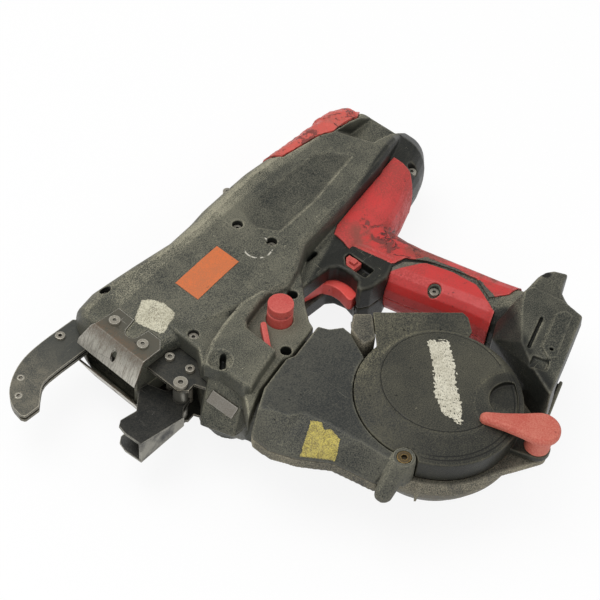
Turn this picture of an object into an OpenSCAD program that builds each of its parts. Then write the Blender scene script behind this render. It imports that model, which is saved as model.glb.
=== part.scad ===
// Cordless rebar tying tool, modelled lying on its right side.
// x runs to the rear of the tool, y to its top and z up through its left side.
// The origin lies on the resting face, under the axis of the wire spool.
// Every module below works about the parting plane of the two housings, at z = 0,
// and is lifted to the resting face where the nodes are drawn.

/* [Body] */
// Half width of the motor housing, from the parting plane to a flank
body_half = 36; // [34:0.5:40]
// Half width of the lower rear pod that carries the grip pads
pod_half = 24; // [22:0.5:27]
// Half width of the handle
grip_half = 17.5; // [16:0.5:20]
// Half width of the battery foot
foot_half = 36; // [33:0.5:38]
// Half width of the feed block in front of the trigger
feed_half = 28; // [27:0.5:30]
// Half width of the trigger frame
neck_half = 18; // [17:0.5:21]
// Wall of the moulded housings
wall = 3; // [2:0.25:3.5]
// How far the red rubber stands over the housing
pad_rise = 1.4; // [0.8:0.2:2.4]
// Height of the twisting axis over the spool axis
twist_y = 163; // [161:0.5:165]

/* [Nose] */
// Half width of the nose behind the wear plates
nose_half = 23.5; // [22.5:0.5:25]
// Half width of the mouth between the wear plates
mouth_half = 8; // [6.5:0.5:9]
// Sheet thickness of the wear plates
wear_sheet = 1.5; // [1:0.25:2.5]
// Thickness of each outer plate of the curl guide
curl_plate = 1.75; // [1.5:0.25:2.5]
// Thickness of the middle plate of the curl guide
curl_core = 2; // [2:0.2:3.2]
// Half width of the lower guide, outside
guide_half = 9; // [8:0.5:10]
// Sheet thickness of the lower guide
guide_sheet = 1.5; // [1:0.25:2]
// Half distance between the chassis plates
chassis_half = 13; // [12.5:0.25:13.5]
// Thickness of a chassis plate
chassis_sheet = 2; // [1.5:0.25:2.5]

/* [Magazine] */
// Outer radius of the spool bowl at its belly
bowl_radius = 51; // [50:0.5:55]
// How far the bowl reaches below the parting plane
bowl_depth = 20; // [18:0.5:24]
// Radius of the round cover
cover_radius = 48; // [46:0.5:50]
// Height of the cover's face over the parting plane
cover_face = 34; // [33:0.5:36]
// Depth of the cover, from its face to the lower edge of its rim
cover_depth = 18; // [16:0.5:20]
// Radius of the spool's flanges
spool_radius = 40.5; // [34:0.5:41]
// Width of the spool
spool_width = 24; // [18:0.5:25]
// Diameter of the spool's spindle
spindle_d = 20; // [12:0.5:26]
// Diameter of the cover's hinge pin
hinge_pin_d = 4; // [3:0.25:5]

/* [Controls] */
// Diameter of the release button
button_d = 15.6; // [13:0.2:17]
// Height of the release button over its pocket
button_rise = 14; // [10:0.5:16]
// Width of the trigger
trigger_w = 9.6; // [8:0.2:12]
// Diameter of the torque dial
dial_d = 13; // [10:0.5:15]
// Diameter of the power button
power_d = 9; // [7:0.5:11]

/* [Fasteners] */
// Shank diameter of the housing screws
screw_d = 3; // [2.5:0.25:4]
// Head diameter of the housing screws
screw_head_d = 6; // [5.5:0.25:7]
// Head height of the housing screws
screw_head_h = 2.4; // [2:0.2:3]

/* [Clearances] */
// Radial clearance of a turning shaft
run_gap = 0.05; // [0.02:0.01:0.1]
// Clearance round a sliding or swinging piece
move_gap = 0.35; // [0.25:0.05:0.6]

/* [Hidden] */
$fn = 48;
lift = max(body_half, foot_half);
// Colours of the mouldings, metals and rubbers
charcoal = [0.27, 0.27, 0.25];
dark = [0.16, 0.16, 0.16];
red = [0.76, 0.22, 0.2];
faded_red = [0.8, 0.33, 0.3];
orange = [0.87, 0.44, 0.2];
steel = [0.62, 0.61, 0.58];
black_steel = [0.2, 0.2, 0.2];
brass = [0.72, 0.58, 0.3];

// Places on the side view, as [x, y]
button_at = [-19.7, 104.5];
lever_at = [-46.5, 91];
lever_tip = [-33.5, 105];
trigger_pivot = [20, 126.5];
guide_pivot = [-88.5, 118];
feed_at = [-60, 103];
idler_at = [-38, 103];

// The magazine keeps its rear edge where the foot and the handle leave room for it
function polar(r, a) = r * [cos(a), sin(a)];

rim_step = 3;
rim_r = cover_radius + rim_step;
bowl_rear = 51;
spool_at = (bowl_rear - max(bowl_radius, rim_r)) * [1, 1];
latch_at = spool_at + polar(rim_r + 9.7, -72.8);
latch_tip = spool_at + polar(cover_radius - 17, -86);
boss_at = spool_at + polar(cover_radius + 3, 195.9);
hinge_turn = -45;
hinge_mid = spool_at + polar(cover_radius + 7.9, hinge_turn + 90) - polar(5.6, hinge_turn);
hinge_z = 27;

// Levels over the parting plane
rim_gap = 0.5;
rim_top = cover_face - cover_depth - rim_gap;
front_top = 31;
spool_mid = 5;
hump_top = feed_half + 8;
chassis_out = chassis_half + chassis_sheet;
curl_half = curl_core / 2 + curl_plate;

// General shapes

module slab(outline, z0, z1) {
    translate([0, 0, z0])
        linear_extrude(z1 - z0)
            polygon(outline);
}

module rounded_slab(outline, z0, z1, r) {
    translate([0, 0, z0])
        linear_extrude(z1 - z0)
            offset(r = r, $fn = 24)
                offset(delta = -r)
                    polygon(outline);
}

module post(at, r, z0, z1) {
    translate([at[0], at[1], z0])
        cylinder(r = r, h = z1 - z0);
}

// A hole whose facets lie on the round pin that fills it
module snug(at, r, z0, z1) {
    post(at, r / cos(180 / $fn), z0, z1);
}

module along_x(x0, x1, y, r) {
    translate([x0, y, 0])
        rotate([0, 90, 0])
            cylinder(r = r, h = x1 - x0);
}

module both_sides() {
    children();
    mirror([0, 0, 1])
        children();
}

// A closed skin through convex rings of points, one rounded stretch after another
module loft(rings) {
    for (s = [0 : len(rings) - 2])
        hull()
            stretch(rings[s], rings[s + 1]);
}

module stretch(a, b) {
    n = len(a);
    sides = [
        for (i = [0 : n - 1])
            let (j = (i + 1) % n)
                each [[i, j + n, j], [i, i + n, j + n]]
    ];
    front = [for (i = [1 : n - 2]) [0, i, i + 1]];
    back = [for (i = [1 : n - 2]) [n, n + i + 1, n + i]];
    polyhedron(points = concat(a, b), faces = concat(sides, front, back));
}

// An outline moved in by d, corner by corner; a negative d moves it out
function area2(p) =
    let (n = len(p))
    [for (i = [0 : n - 1]) p[i][0] * p[(i + 1) % n][1] - p[(i + 1) % n][0] * p[i][1]] * [for (q = p) 1];

function inward(a, b, turn) = turn * [a[1] - b[1], b[0] - a[0]] / norm(b - a);

function inset(p, d) =
    let (n = len(p), turn = sign(area2(p)))
    [
        for (i = [0 : n - 1])
            let (
                u = inward(p[(i + n - 1) % n], p[i], turn),
                v = inward(p[i], p[(i + 1) % n], turn)
            )
                p[i] + (u + v) * d / (1 + u * v)
    ];

// A slab whose upper edge is rounded, grown by g all round
module moulded(outline, z0, z1, r, g = 0) {
    n = len(outline);
    turns = [[0, 0], [0, 1], [0.134, 0.5], [0.5, 0.134], [1, 0]];
    way = area2(outline) > 0 ? outline : [for (i = [n - 1 : -1 : 0]) outline[i]];
    points = [
        for (k = [0 : 4])
            let (z = k == 0 ? z0 : z1 + g - r * turns[k][1])
                each [for (q = inset(way, r * turns[k][0] - g)) [q[0], q[1], z]]
    ];
    sides = [
        for (k = [0 : 3], i = [0 : n - 1])
            let (j = (i + 1) % n)
                [k * n + j, k * n + i, (k + 1) * n + i, (k + 1) * n + j]
    ];
    polyhedron(
        points = points,
        faces = concat([[for (i = [0 : n - 1]) i]], sides, [[for (i = [n - 1 : -1 : 0]) 4 * n + i]])
    );
}

function mirrored(side, skip_last) =
    concat(side, [for (i = [len(side) - 1 - skip_last : -1 : 1]) [side[i][0], side[i][1], -side[i][2]]]);

function soft(v, power) = sign(v) * pow(abs(v), power);

// Motor housing: stations of x, ridge, shoulder, foot of the flank, underside,
// and how far the flank and the underside's edge stand in from the full width
nose_in = body_half - nose_half - wear_sheet;
barrel_rows = [
    [-101.5, 184, 176, 147, 141, nose_in + 12, nose_in + 14],
    [-99, 190.5, 180, 147, 141, nose_in + 6.5, nose_in + 10],
    [-96, 198, 184, 147, 140.5, nose_in + 1.6, nose_in + 7],
    [-92, 203.5, 186.5, 147, 140, nose_in, nose_in + 6],
    [-78, 207, 188, 147, 140, nose_in, nose_in + 6],
    [-68, 205.5, 188, 145, 137, nose_in - 2, nose_in + 4],
    [-48, 202.5, 186, 138, 129, 5.5, 11],
    [-22, 199.5, 182, 130, 120, 2.6, 8],
    [0, 202, 182, 124, 115, 0.9, 7],
    [14, 205, 184, 129, 120, 0.2, 7],
    [34, 207, 187, 139, 131, 0, 7.5],
    [55, 209, 189, 141, 134, 0, 8],
    [91, 208, 190, 145.5, 139, 0, 8],
    [121, 208.5, 190, 150, 144, 0, 8],
    [138, 209.5, 188, 154, 149, 1.6, 9],
    [150, 208, 186, 157, 153, 5.5, 12],
    [160, 203.5, 185, 160, 157, 12, 17],
    [166, 199, 184, 163, 161, 19, 23]
];

function barrel_ring(s, g, x) =
    let (
        ridge = g < 0 ? 4 : 7,
        chine = g < 0 ? 2 : 3,
        half = body_half - s[5] + g,
        keel = body_half - s[6] + g,
        top = s[1] + g,
        under = s[4] - g
    )
    mirrored(concat(
        [for (i = [0 : ridge - 1]) let (a = 90 - 90 * i / ridge)
            [x, s[2] + (top - s[2]) * pow(sin(a), 0.95), half * pow(cos(a), 0.8)]],
        [for (i = [0 : chine]) let (a = 90 * i / chine)
            [x, s[3] - (s[3] - under) * sin(a), keel + (half - keel) * cos(a)]]
    ), 0);

module barrel(g = 0, front = 0, rear = 0) {
    last = len(barrel_rows) - 1;
    loft([
        for (i = [0 : last])
            let (s = barrel_rows[i])
                barrel_ring(s, g, s[0] - (i == 0 ? front : 0) - (i == last ? rear : 0))
    ]);
}

// Lower rear pod: stations of x, top, underside and inset from its full half width
pod_rows = [
    [44, 152, 112, 5.5],
    [60, 153, 111.5, 4],
    [80, 156, 111.5, 2.5],
    [100, 158, 114.5, 1.4],
    [118, 161, 120, 0.6],
    [134, 163, 126.5, 0],
    [150, 163.5, 131, 0],
    [162, 164, 136, 1],
    [171, 164, 143.5, 6.5],
    [177.5, 163.5, 151, 15]
];

function pod_ring(s, g, x) =
    let (
        bend = g < 0 ? 3 : 6,
        half = pod_half - s[3] + g,
        under = s[2] - g,
        waist = s[2] + min(17, 0.6 * (s[1] - s[2]))
    )
    mirrored(concat(
        [[x, s[1] + g, 0], [x, s[1] + g, half - 1.5], [x, s[1] - 1.5 + g, half]],
        [for (i = [0 : bend]) let (a = 90 * i / bend)
            [x, waist - (waist - under) * sin(a), half * pow(cos(a), 0.8)]]
    ), 1);

module pod(g = 0, rear = 0) {
    last = len(pod_rows) - 1;
    loft([
        for (i = [0 : last])
            let (s = pod_rows[i])
                pod_ring(s, g, s[0] + (i == last ? -rear : (i == 0 ? -g : 0)))
    ]);
}

// Handle: stations of y, front, back and inset from its full half width
handle_rows = [
    [128, 50, 101, -0.5],
    [112, 52, 98.5, 0],
    [100, 56, 98.5, 0],
    [87, 59.5, 100.5, 0],
    [70, 64, 105, 0],
    [51, 70, 110, 0],
    [36, 74.5, 113.5, -0.4],
    [24, 76, 116.5, -2],
    [15, 75, 118, -5.5],
    [7, 71, 118, -10.5],
    [0, 67, 116, -15]
];

function handle_ring(s, g, y) =
    let (
        mid = (s[1] + s[2]) / 2,
        reach = (s[2] - s[1]) / 2 + g,
        half = grip_half - s[3] + g,
        turn = g < 0 ? 30 : 18
    )
    [for (a = [0 : turn : 359])
        [mid + reach * soft(cos(a), 0.8), y, half * soft(sin(a), 0.8)]];

module handle(g = 0) {
    loft([for (s = handle_rows) handle_ring(s, g, s[0])]);
}

// Trigger frame in front of the handle
neck_outline = [
    [10, 130], [10, 120], [16, 117], [40, 116.5], [44.5, 113], [46.5, 105], [44.5, 97],
    [40, 94], [39.5, 90.5], [46, 87], [60, 86], [76, 92], [76, 130]
];

module neck(g = 0) {
    both_sides()
        moulded(neck_outline, -1, neck_half, 2, g);
}

// Feed block between the nose and the trigger. Its lower edge is the seam of the magazine
seam = [[-86, 67.5], [-66, 77], [-41, 82.5], [-36, 80.5], [-10, 86]];
seam_gap = 2.8;
feed_outline = concat(
    [for (i = [1 : len(seam) - 1]) seam[i]],
    [[-8, 91], [0, 101.5], [9, 111], [20, 124], [30, 132], [30, 150], [-70, 150], [-70, 123],
     [-77, 113], [-77, 103], [-73, 92], [-67.5, 84]]
);
// Lobe in front of it: its edge on the parting plane, and where its slopes end on the flank
lobe_edge = [[-92.6, 98], [-85.5, 78.3], [-80, 77.5], [-66, 80], [-66, 108], [-84, 106]];
lobe_crown = [[-77, 106], [-69.2, 84.3], [-62, 84], [-62, 110], [-72, 110]];
lobe_half = feed_half - 2;
// Corner of the left flank over the front end of the seam
chin_outline = [seam[0], seam[1], [-62, 84], [-66, 94], [-73, 90], [-75, 82]];
chin_floor = 15;

module lobe(g = 0) {
    both_sides()
        hull() {
            slab(inset(lobe_edge, -g), -1, 1);
            slab(inset(lobe_crown, -g), 0, lobe_half + g);
        }
}

// Frame of the left slope of the lobe: x along it to the rear, z out of it
lobe_run = lobe_edge[1] - lobe_edge[0];
lobe_turn = atan2(lobe_run[1], lobe_run[0]);
lobe_depth = (lobe_crown[0] - lobe_edge[0]) * polar(1, lobe_turn + 90);
lobe_mid = (lobe_edge[0] + lobe_edge[1] + lobe_crown[0] + lobe_crown[1]) / 4;

module on_lobe() {
    translate([lobe_mid[0], lobe_mid[1], (lobe_half + 1) / 2])
        rotate([0, 0, lobe_turn])
            rotate([atan2(lobe_half - 1, lobe_depth), 0, 0])
                children();
}

module feed_block() {
    both_sides()
        moulded(feed_outline, -1, feed_half, 2);
    lobe();
}

// Shoulder over the feed gears on the left flank
hump_outline = [
    [-80, 108], [-66, 117], [-50, 122], [-30, 126], [-14, 123], [-11, 119], [-22, 118],
    [-38, 114], [-42.5, 109], [-43, 86], [-64, 80.5], [-73, 77.5], [-76, 81], [-75.5, 92], [-76, 99]
];

module hump() {
    moulded(hump_outline, feed_half - 4, hump_top, 3);
}

// Battery foot. Its underside slopes up to the rear
foot_slope = 17.9;
foot_corner = [39, -49];
foot_front = [55.3, -10];
foot_outline = [
    foot_corner, [105.5, -27.2], [107.5, -12], [104, 12], [98, 13.5], [76, 14], [63.5, 8], foot_front
];
foot_face = [
    foot_corner + [3, 2], [104.5, -25.8], [106.5, -12], [103, 9], [97, 11], [84, 4], [62, -12], [50, -30]
];
foot_shoulder = 15;
tail_outline = [
    [90, 12], [104, 12.5], [114, 13.2], [120, 12.2], [125, 9], [129, 1], [121, -1.5], [114, -5],
    [110.5, -10], [107.5, -16], [90, -14]
];

module foot() {
    hull() {
        slab(foot_outline, foot_shoulder - foot_half, foot_half - foot_shoulder);
        slab(foot_face, -foot_half, foot_half);
    }
    both_sides()
        moulded(tail_outline, -1, foot_half - 1.5, 3);
}

// Frame of the battery rail: u along the underside to the rear, v up into the foot
module on_foot() {
    translate([foot_corner[0], foot_corner[1], 0])
        rotate([0, 0, foot_slope])
            children();
}

rail_depth = 9;
rail_half = foot_half - 9;
rail_lip = 3.5;
rail_groove = 4;

module battery_rail() {
    on_foot() {
        translate([16, -2, -rail_half])
            cube([80, rail_depth + 2, 2 * rail_half]);
        translate([16, rail_lip, -rail_half - rail_groove])
            cube([80, rail_depth - rail_lip, 2 * (rail_half + rail_groove)]);
    }
}

// Screws through the left housing: place, and level of the head's seat
flank_screws = [
    [14, 171, body_half - 7], [18, 146, body_half - 7], [-64, 132, feed_half - 5]
];
pair_screws = [
    [-35, 85.5, feed_half - 12], [0, 112, feed_half - 12], [74, 59.4, grip_half - 6],
    [146, 136, pod_half - 10], [-74, 196, nose_half - 8], [38, 202, body_half - 13]
];
boss_r = screw_head_d / 2 + 2;
screw_reach = 6;

module screw_holes() {
    for (p = flank_screws)
        post(p, screw_d / 2 + 0.2, chassis_out - 1, body_half + 2);
    for (p = pair_screws)
        post(p, screw_d / 2 + 0.2, -1, body_half + 2);
    for (p = concat(flank_screws, pair_screws))
        post(p, screw_head_d / 2 + 0.4, p[2], body_half + 2);
}

module screw_bosses() {
    for (p = flank_screws)
        post(p, boss_r, chassis_out, body_half, $fn = 12);
    for (p = pair_screws)
        post(p, boss_r, 0, body_half, $fn = 12);
}

// Outer form and inner room of both housings
module body_form() {
    barrel();
    pod();
    handle();
    neck();
    feed_block();
    foot();
}

module body_room() {
    difference() {
        barrel(-wall, 4, wall);
        both_sides()
            saddle(wall);
    }
    pod(-wall, wall);
    handle(-wall);
    both_sides()
        translate([0, 0, -1])
            linear_extrude(feed_half - wall + 1)
                offset(delta = -wall)
                    polygon(feed_outline);
    lobe(-wall);
    on_foot()
        translate([30, rail_depth + wall, -grip_half])
            cube([30, 16, 2 * grip_half]);
}

// Raised plate on the left flank of the foot
foot_plate = [[27, 10], [34, 16.5], [63, 16.5], [68, 12], [66, 7], [30, 6]];
plate_height = 1.6;

module foot_badge() {
    on_foot()
        slab(foot_plate, foot_half - 3, foot_half + plate_height);
}

// Room of the trigger, its arm and the finger
trigger_room = [[8, 108], [8, 133], [58, 133], [60, 120], [60, 98], [52, 94.5], [34, 92.5]];

// Recessed rear of the motor housing, where the controls sit
saddle_half = 21;
saddle_floor = [[139, 185], [141, 175], [145, 164], [180, 164], [180, 185]];
saddle_mouth = [[121, 184.5], [126, 172], [131, 160], [180, 158], [180, 184.5]];

module saddle(g = 0) {
    hull() {
        slab(inset(saddle_floor, -g), saddle_half - g, saddle_half + 1);
        slab(inset(saddle_mouth, -g), body_half, body_half + 2);
    }
}

// Sunk side panel of each flank
panel_sink = 1.5;
panel_outline = [[24, 177], [96, 179.5], [105, 173], [112, 161], [62, 151], [28, 148], [20, 160]];

module chassis_slots() {
    both_sides()
        translate([0, 0, chassis_half - move_gap])
            linear_extrude(chassis_sheet + 2 * move_gap)
                offset(delta = move_gap)
                    polygon(chassis_outline);
}

switch_at = [60.5, 99];
switch_size = [14, 20, 14];
board_at = [96, 136];
board_size = [42, 1.6, 26];

module right_ribs() {
    rib = 3;
    // The switch and the board lie against ribs of the right housing
    translate([switch_at[0] + 4, switch_at[1] + 4, -neck_half + 1])
        cube([switch_size[0] - 6, 10, neck_half - 1 - switch_size[2] / 2]);
    for (x = [board_at[0] + 6, board_at[0] + board_size[0] - 9])
        translate([x, board_at[1] - 24, -board_size[2] / 2 + 2])
            cube([rib, 24, 8]);
    for (p = flank_screws)
        post(p, boss_r, -body_half, -chassis_out, $fn = 12);
    for (p = pair_screws)
        post(p, boss_r, -body_half, 0, $fn = 12);
}

module motor_cradle() {
    // Two ribs that hold the twisting motor, one in each half of the ring
    for (x = [84, 112])
        difference() {
            translate([x, twist_y - 22, -motor_r - 10])
                cube([4, 48, 2 * (motor_r + 10)]);
            along_x(x - 1, x + 5, twist_y, motor_r / cos(180 / $fn));
        }
}

motor_r = 20;
motor_x = [72, 125];
gearbox_r = 22;
gearbox_x = [26, 72];

module housing_core() {
    intersection() {
        body_form();
        union() {
            difference() {
                translate([-200, -100, -60])
                    cube([420, 340, 120]);
                body_room();
            }
            motor_cradle();
        }
    }
}

// Slider of the trigger lock: its lower edge, its way down and the room past its end
lock_low = 105;
lock_travel = 6;
lock_room = 3.6;
lock_end = lock_low - lock_travel - lock_room;
lock_pocket = [[49.3, lock_end], [58.4, lock_end], [58.4, 115.8], [54, 115.8], [49.3, 111]];
lock_floor = neck_half - 6;

module half_cut(side) {
    translate([-200, -100, side > 0 ? 0 : -60])
        cube([420, 340, 60]);
}

module shared_cuts() {
    slab(trigger_room, -trigger_w / 2 - move_gap, trigger_w / 2 + move_gap);
    battery_rail();
    chassis_slots();
    slab(inset(curl_outer, -move_gap), -curl_half - move_gap, curl_half + move_gap);
    snug(trigger_pivot, trigger_pin_r, -neck_half + wall, neck_half - wall);
    both_sides() {
        saddle();
        slab(panel_outline, body_half - panel_sink, body_half + 2);
    }
    along_x(150, 180, dial_y, dial_d / 2 + move_gap, $fn = 24);
    along_x(150, 180, power_y, power_d / 2 + move_gap, $fn = 24);
    // Wire way from the magazine up to the gears
    translate([-56, 60, -5])
        cube([14, 30, 10]);
    // Strap eye in the upper edge of the foot's tail
    both_sides()
        translate([119, 2, foot_half - 7])
            rotate([-90, 0, 0])
                cylinder(r = 3.6, h = 20, $fn = 24);
    both_sides()
        wear_seat();
    bumper_seat();
}

module left_housing() {
    $fn = 16;
    color(charcoal)
        difference() {
            union() {
                intersection() {
                    housing_core();
                    half_cut(1);
                }
                difference() {
                    hump();
                    barrel(-wall);
                }
                moulded(chin_outline, chin_floor, feed_half, 2);
                intersection() {
                    body_form();
                    screw_bosses();
                }
                slab([[46, 93], [60, 93], [60, 118], [46, 118]], trigger_w / 2 + move_gap, neck_half - 1);
                foot_badge();
            }
            shared_cuts();
            screw_holes();
            slab(lock_pocket, lock_floor, neck_half + 4);
            post(button_at, button_d / 2 + move_gap, 0, hump_top + 4, $fn = 32);
            lever_room();
            pad_slot_left();
            nose_cover();
            // Hollow with a slot over the feed gears
            translate([-72, 103.5, hump_top + 4.5])
                sphere(r = 9);
            hull() {
                post([-73.5, 99.7], 1.7, hump_top - 9, hump_top);
                post([-67.5, 105], 1.7, hump_top - 9, hump_top);
            }
        }
}

module pad_slot_left() {
    // Slot and sunk key of the foot's left flank
    on_foot()
        translate([31, 22.5, foot_half - 3])
            cube([27, 1.8, 6]);
    on_foot()
        translate([19, 9, foot_half - 2.5])
            cube([8, 10, 6]);
    post([69, -28], 1.3, foot_half - 2, foot_half + 4);
}

// Room of the lock lever beside the button's pocket
lever_z = [feed_half + 0.4, feed_half + 5];

module lever_room() {
    z1 = lever_z[1] + move_gap;
    translate([lever_at[0], lever_at[1], feed_half])
        cylinder(r = 5.2, h = z1 - feed_half);
    slab([[-50, 88], [-42, 87], [-40, 104], [-46, 100]], feed_half, z1);
    snug(lever_at, 2, feed_half - wall + 1, hump_top - 1);
}

drum_end = -feed_half - 3.5;

module right_housing() {
    $fn = 16;
    color(charcoal)
        difference() {
            union() {
                intersection() {
                    housing_core();
                    half_cut(-1);
                }
                intersection() {
                    body_form();
                    right_ribs();
                }
                // Drum over the feed motor
                difference() {
                    post(feed_at, feed_motor_r + 4, drum_end, -feed_half + 6);
                    post(feed_at, feed_motor_r + 0.6, drum_end + wall - 0.5, 0);
                }
            }
            shared_cuts();
            post(feed_at, feed_motor_r + 0.6, drum_end + wall - 0.5, 0);
            for (p = pair_screws)
                post(p, screw_d / 2 + 0.1, -screw_reach - 1, 1);
        }
}

// Red rubber: a raised skin over a stretch of the housing
module skin(outline, side) {
    difference() {
        intersection() {
            slab(outline, side > 0 ? 0.01 : -60, side > 0 ? 60 : -0.01);
            children(0);
        }
        children(1);
    }
}

rear_pad_outline = [
    [61.5, 131.5], [68, 135], [140, 148], [141, 134], [134, 122], [122, 108], [100, 106],
    [96, 98], [104, 84], [122, 22], [100, 22], [90, 30], [98.5, 46], [93, 64], [88.5, 76],
    [80, 88], [66, 92], [60.5, 112]
];
grip_panel_outline = [
    [40, 84], [62, 92], [77, 86.5], [86, 75.5], [90.5, 64], [96, 46], [87.5, 29], [84, 21],
    [70, 16], [60, 40]
];

module rubber_form(g) {
    pod(g);
    handle(g);
    neck(min(g, 0));
}

module rear_pad(side) {
    color(red)
        difference() {
            skin(rear_pad_outline, side) {
                rubber_form(pad_rise);
                body_form();
            }
            for (p = pair_screws)
                translate([p[0], p[1], -60])
                    cylinder(r = screw_head_d / 2 + 0.5, h = 120, $fn = 24);
        }
}

module grip_panel(side) {
    color(red)
        difference() {
            skin(grip_panel_outline, side) {
                handle(pad_rise);
                body_form();
            }
            for (p = pair_screws)
                translate([p[0], p[1], -60])
                    cylinder(r = screw_head_d / 2 + 1.2, h = 120, $fn = 24);
        }
}

module left_rear_pad() {
    rear_pad(1);
}

module right_rear_pad() {
    rear_pad(-1);
}

module left_grip_panel() {
    grip_panel(1);
}

module right_grip_panel() {
    grip_panel(-1);
}

// Rubber bumper over the rear of the ridge
bumper_outline = [
    [73, 230], [75, 198], [79, 192.5], [112, 189.5], [121, 185.5], [148, 186], [156, 191],
    [165, 197], [180, 230]
];
bumper_hump = [[124, 230], [127, 196], [132, 189], [150, 190], [156, 230]];
bumper_rise = 1.8;
bumper_crest = 3.4;
bumper_sink = 1.2;

// What the housings give up for the bumper
module bumper_seat() {
    difference() {
        slab(bumper_outline, -60, 60);
        barrel(-bumper_sink);
    }
}

module top_bumper() {
    color(red)
        difference() {
            union() {
                intersection() {
                    slab(bumper_outline, -body_half, body_half);
                    barrel(bumper_rise, 0, -bumper_rise);
                }
                intersection() {
                    slab(bumper_hump, -body_half, body_half);
                    barrel(bumper_crest);
                }
            }
            barrel(-bumper_sink);
            both_sides()
                for (p = [[153, 202.5, 22], [160, 198.5, 18]])
                    translate(p)
                        sphere(r = 1.4, $fn = 12);
        }
}

// Bare plate on the left flank
plate_outline = [[-45, 147], [-8, 149], [-8, 167.5], [-45, 166]];
plate_rise = 0.5;

module blank_plate() {
    color(orange)
        skin(plate_outline, 1) {
            barrel(plate_rise);
            body_form();
        }
}

// Chassis: two steel plates with the bearing block and the gearbox flange between them
chassis_outline = [
    [-93, 141], [-93, 116], [-88.5, 111.5], [-83, 112.5], [-74, 92], [-24, 92], [-22, 118],
    [4, 132], [22, 140], [22, 186], [-78, 185], [-80, 198], [-92, 198], [-94, 186]
];
bearing_x = [-54, -42];
flange_x = [23.5, 26];
shaft_r = 7;
curl_bolts = [[-86, 192], [-86, 185]];
curl_boss_r = 3.4;
side_bolts = [[-79, 136.4], [-77.2, 121.6]];
guide_pin_r = 2.5;
feed_shaft_r = 3;

module chassis() {
    color(black_steel)
        difference() {
            union() {
                both_sides() {
                    slab(chassis_outline, chassis_half, chassis_out);
                    for (p = curl_bolts)
                        post(p, curl_boss_r, curl_half, chassis_half);
                }
                translate([bearing_x[0], twist_y - 15, -chassis_half])
                    cube([bearing_x[1] - bearing_x[0], 30, 2 * chassis_half]);
                difference() {
                    along_x(flange_x[0] - 4, flange_x[1], twist_y, gearbox_r + 1);
                    along_x(flange_x[0] - 5, flange_x[0], twist_y, 12);
                    translate([flange_x[0] - 5, twist_y - 40, chassis_out])
                        cube([5, 80, 40]);
                    translate([flange_x[0] - 5, twist_y - 40, -chassis_out - 40])
                        cube([5, 80, 40]);
                }
            }
            along_x(-100, 60, twist_y, shaft_r + run_gap);
            for (p = flank_screws)
                post(p, screw_d / 2 + 0.1, -30, 30);
            for (p = concat(curl_bolts, side_bolts))
                post(p, 2, -30, 30);
            post(guide_pivot, guide_pin_r, -30, 30);
            post(feed_at, feed_shaft_r + run_gap, -30, 30);
            post(idler_at, idler_pin_r, -30, 30);
        }
}

idler_pin_r = 3;

// Steel wear plates: a flank with a notch, bent in across the front of the nose
wear_flank = [-97, -79];
wear_y = [139, 179];
wear_front_x = -104;
wear_screw_at = [[-88, 173], [-89, 148.5]];

// Outline of a wear plate on the flank, grown by g: a sloping top, a rounded notch
// in the rear edge and a cut lower corner
module wear_shape(g = 0) {
    difference() {
        offset(delta = g)
            polygon([
                [-120, wear_y[0]], [-84, wear_y[0]], [wear_flank[1], wear_y[0] + 5],
                [wear_flank[1], wear_y[1]], [wear_flank[0], wear_y[1] + 1],
                [wear_front_x, wear_y[1] + 8.5], [-120, wear_y[1] + 8.5]
            ]);
        offset(delta = -g)
            hull() {
                translate([-86, 159.5])
                    circle(r = 4.5, $fn = 32);
                translate([-70, 160.5])
                    square([1, 15], center = true);
            }
    }
}

// Sunk seat that keeps a wear plate flush with the nose
wear_gap = 0.4;

module wear_seat() {
    translate([0, 0, nose_half])
        linear_extrude(10)
            wear_shape(wear_gap);
}

module wear_plate() {
    seat = nose_half;
    profile = [
        [wear_flank[1], seat], [wear_flank[0], seat], [wear_front_x, mouth_half],
        [wear_front_x - wear_sheet, mouth_half], [wear_flank[0] - wear_sheet, seat + 0.5],
        [wear_flank[0] - 0.3, seat + wear_sheet], [wear_flank[1], seat + wear_sheet]
    ];
    difference() {
        intersection() {
            translate([0, wear_y[1] + 9, 0])
                rotate([90, 0, 0])
                    linear_extrude(wear_y[1] + 9 - wear_y[0])
                        polygon(profile);
            linear_extrude(40)
                wear_shape();
        }
        for (p = wear_screw_at)
            post(p, 2.1, 0, 40);
        post([-101.5, 160], 2, 0, 22);
    }
}

module left_wear_plate() {
    color(steel)
        wear_plate();
}

module right_wear_plate() {
    color(steel)
        mirror([0, 0, 1])
            wear_plate();
}

module wear_screws() {
    color(steel)
        both_sides()
            for (p = wear_screw_at)
                difference() {
                    union() {
                        post(p, 3.4, nose_half + wear_sheet, nose_half + wear_sheet + 1.6);
                        post(p, 2, nose_half, nose_half + wear_sheet);
                    }
                    post(p, 1.2, nose_half + wear_sheet + 0.6, 60);
                }
}

// Curl guide: two plates and a core that leaves the wire groove open on the inner edge
function eased(p) = concat(
    [p[0]],
    [for (i = [0 : len(p) - 2]) each [0.75 * p[i] + 0.25 * p[i + 1], 0.25 * p[i] + 0.75 * p[i + 1]]],
    [p[len(p) - 1]]
);

curl_back = eased(eased([
    [-161.8, 174], [-160.5, 184], [-152.5, 194.5], [-138, 203], [-122, 206.2], [-92, 206.2]
]));
curl_root = [[-84, 197], [-80.5, 197], [-80.5, 181], [-95, 181]];
curl_outer = concat(curl_back, curl_root, eased([
    [-99, 183.6], [-130, 183.4], [-138, 182], [-144, 177], [-150, 171.2]
]), [[-160.5, 171.2]]);
curl_inner = concat(curl_back, curl_root, eased([
    [-100, 186.2], [-131, 186.2], [-140, 185], [-146, 180], [-151.5, 174.6]
]), [[-161, 174.2]]);
curl_holes = [[-106.4, 201.4], [-143.6, 194.3], [-153.2, 185.2]];

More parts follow.
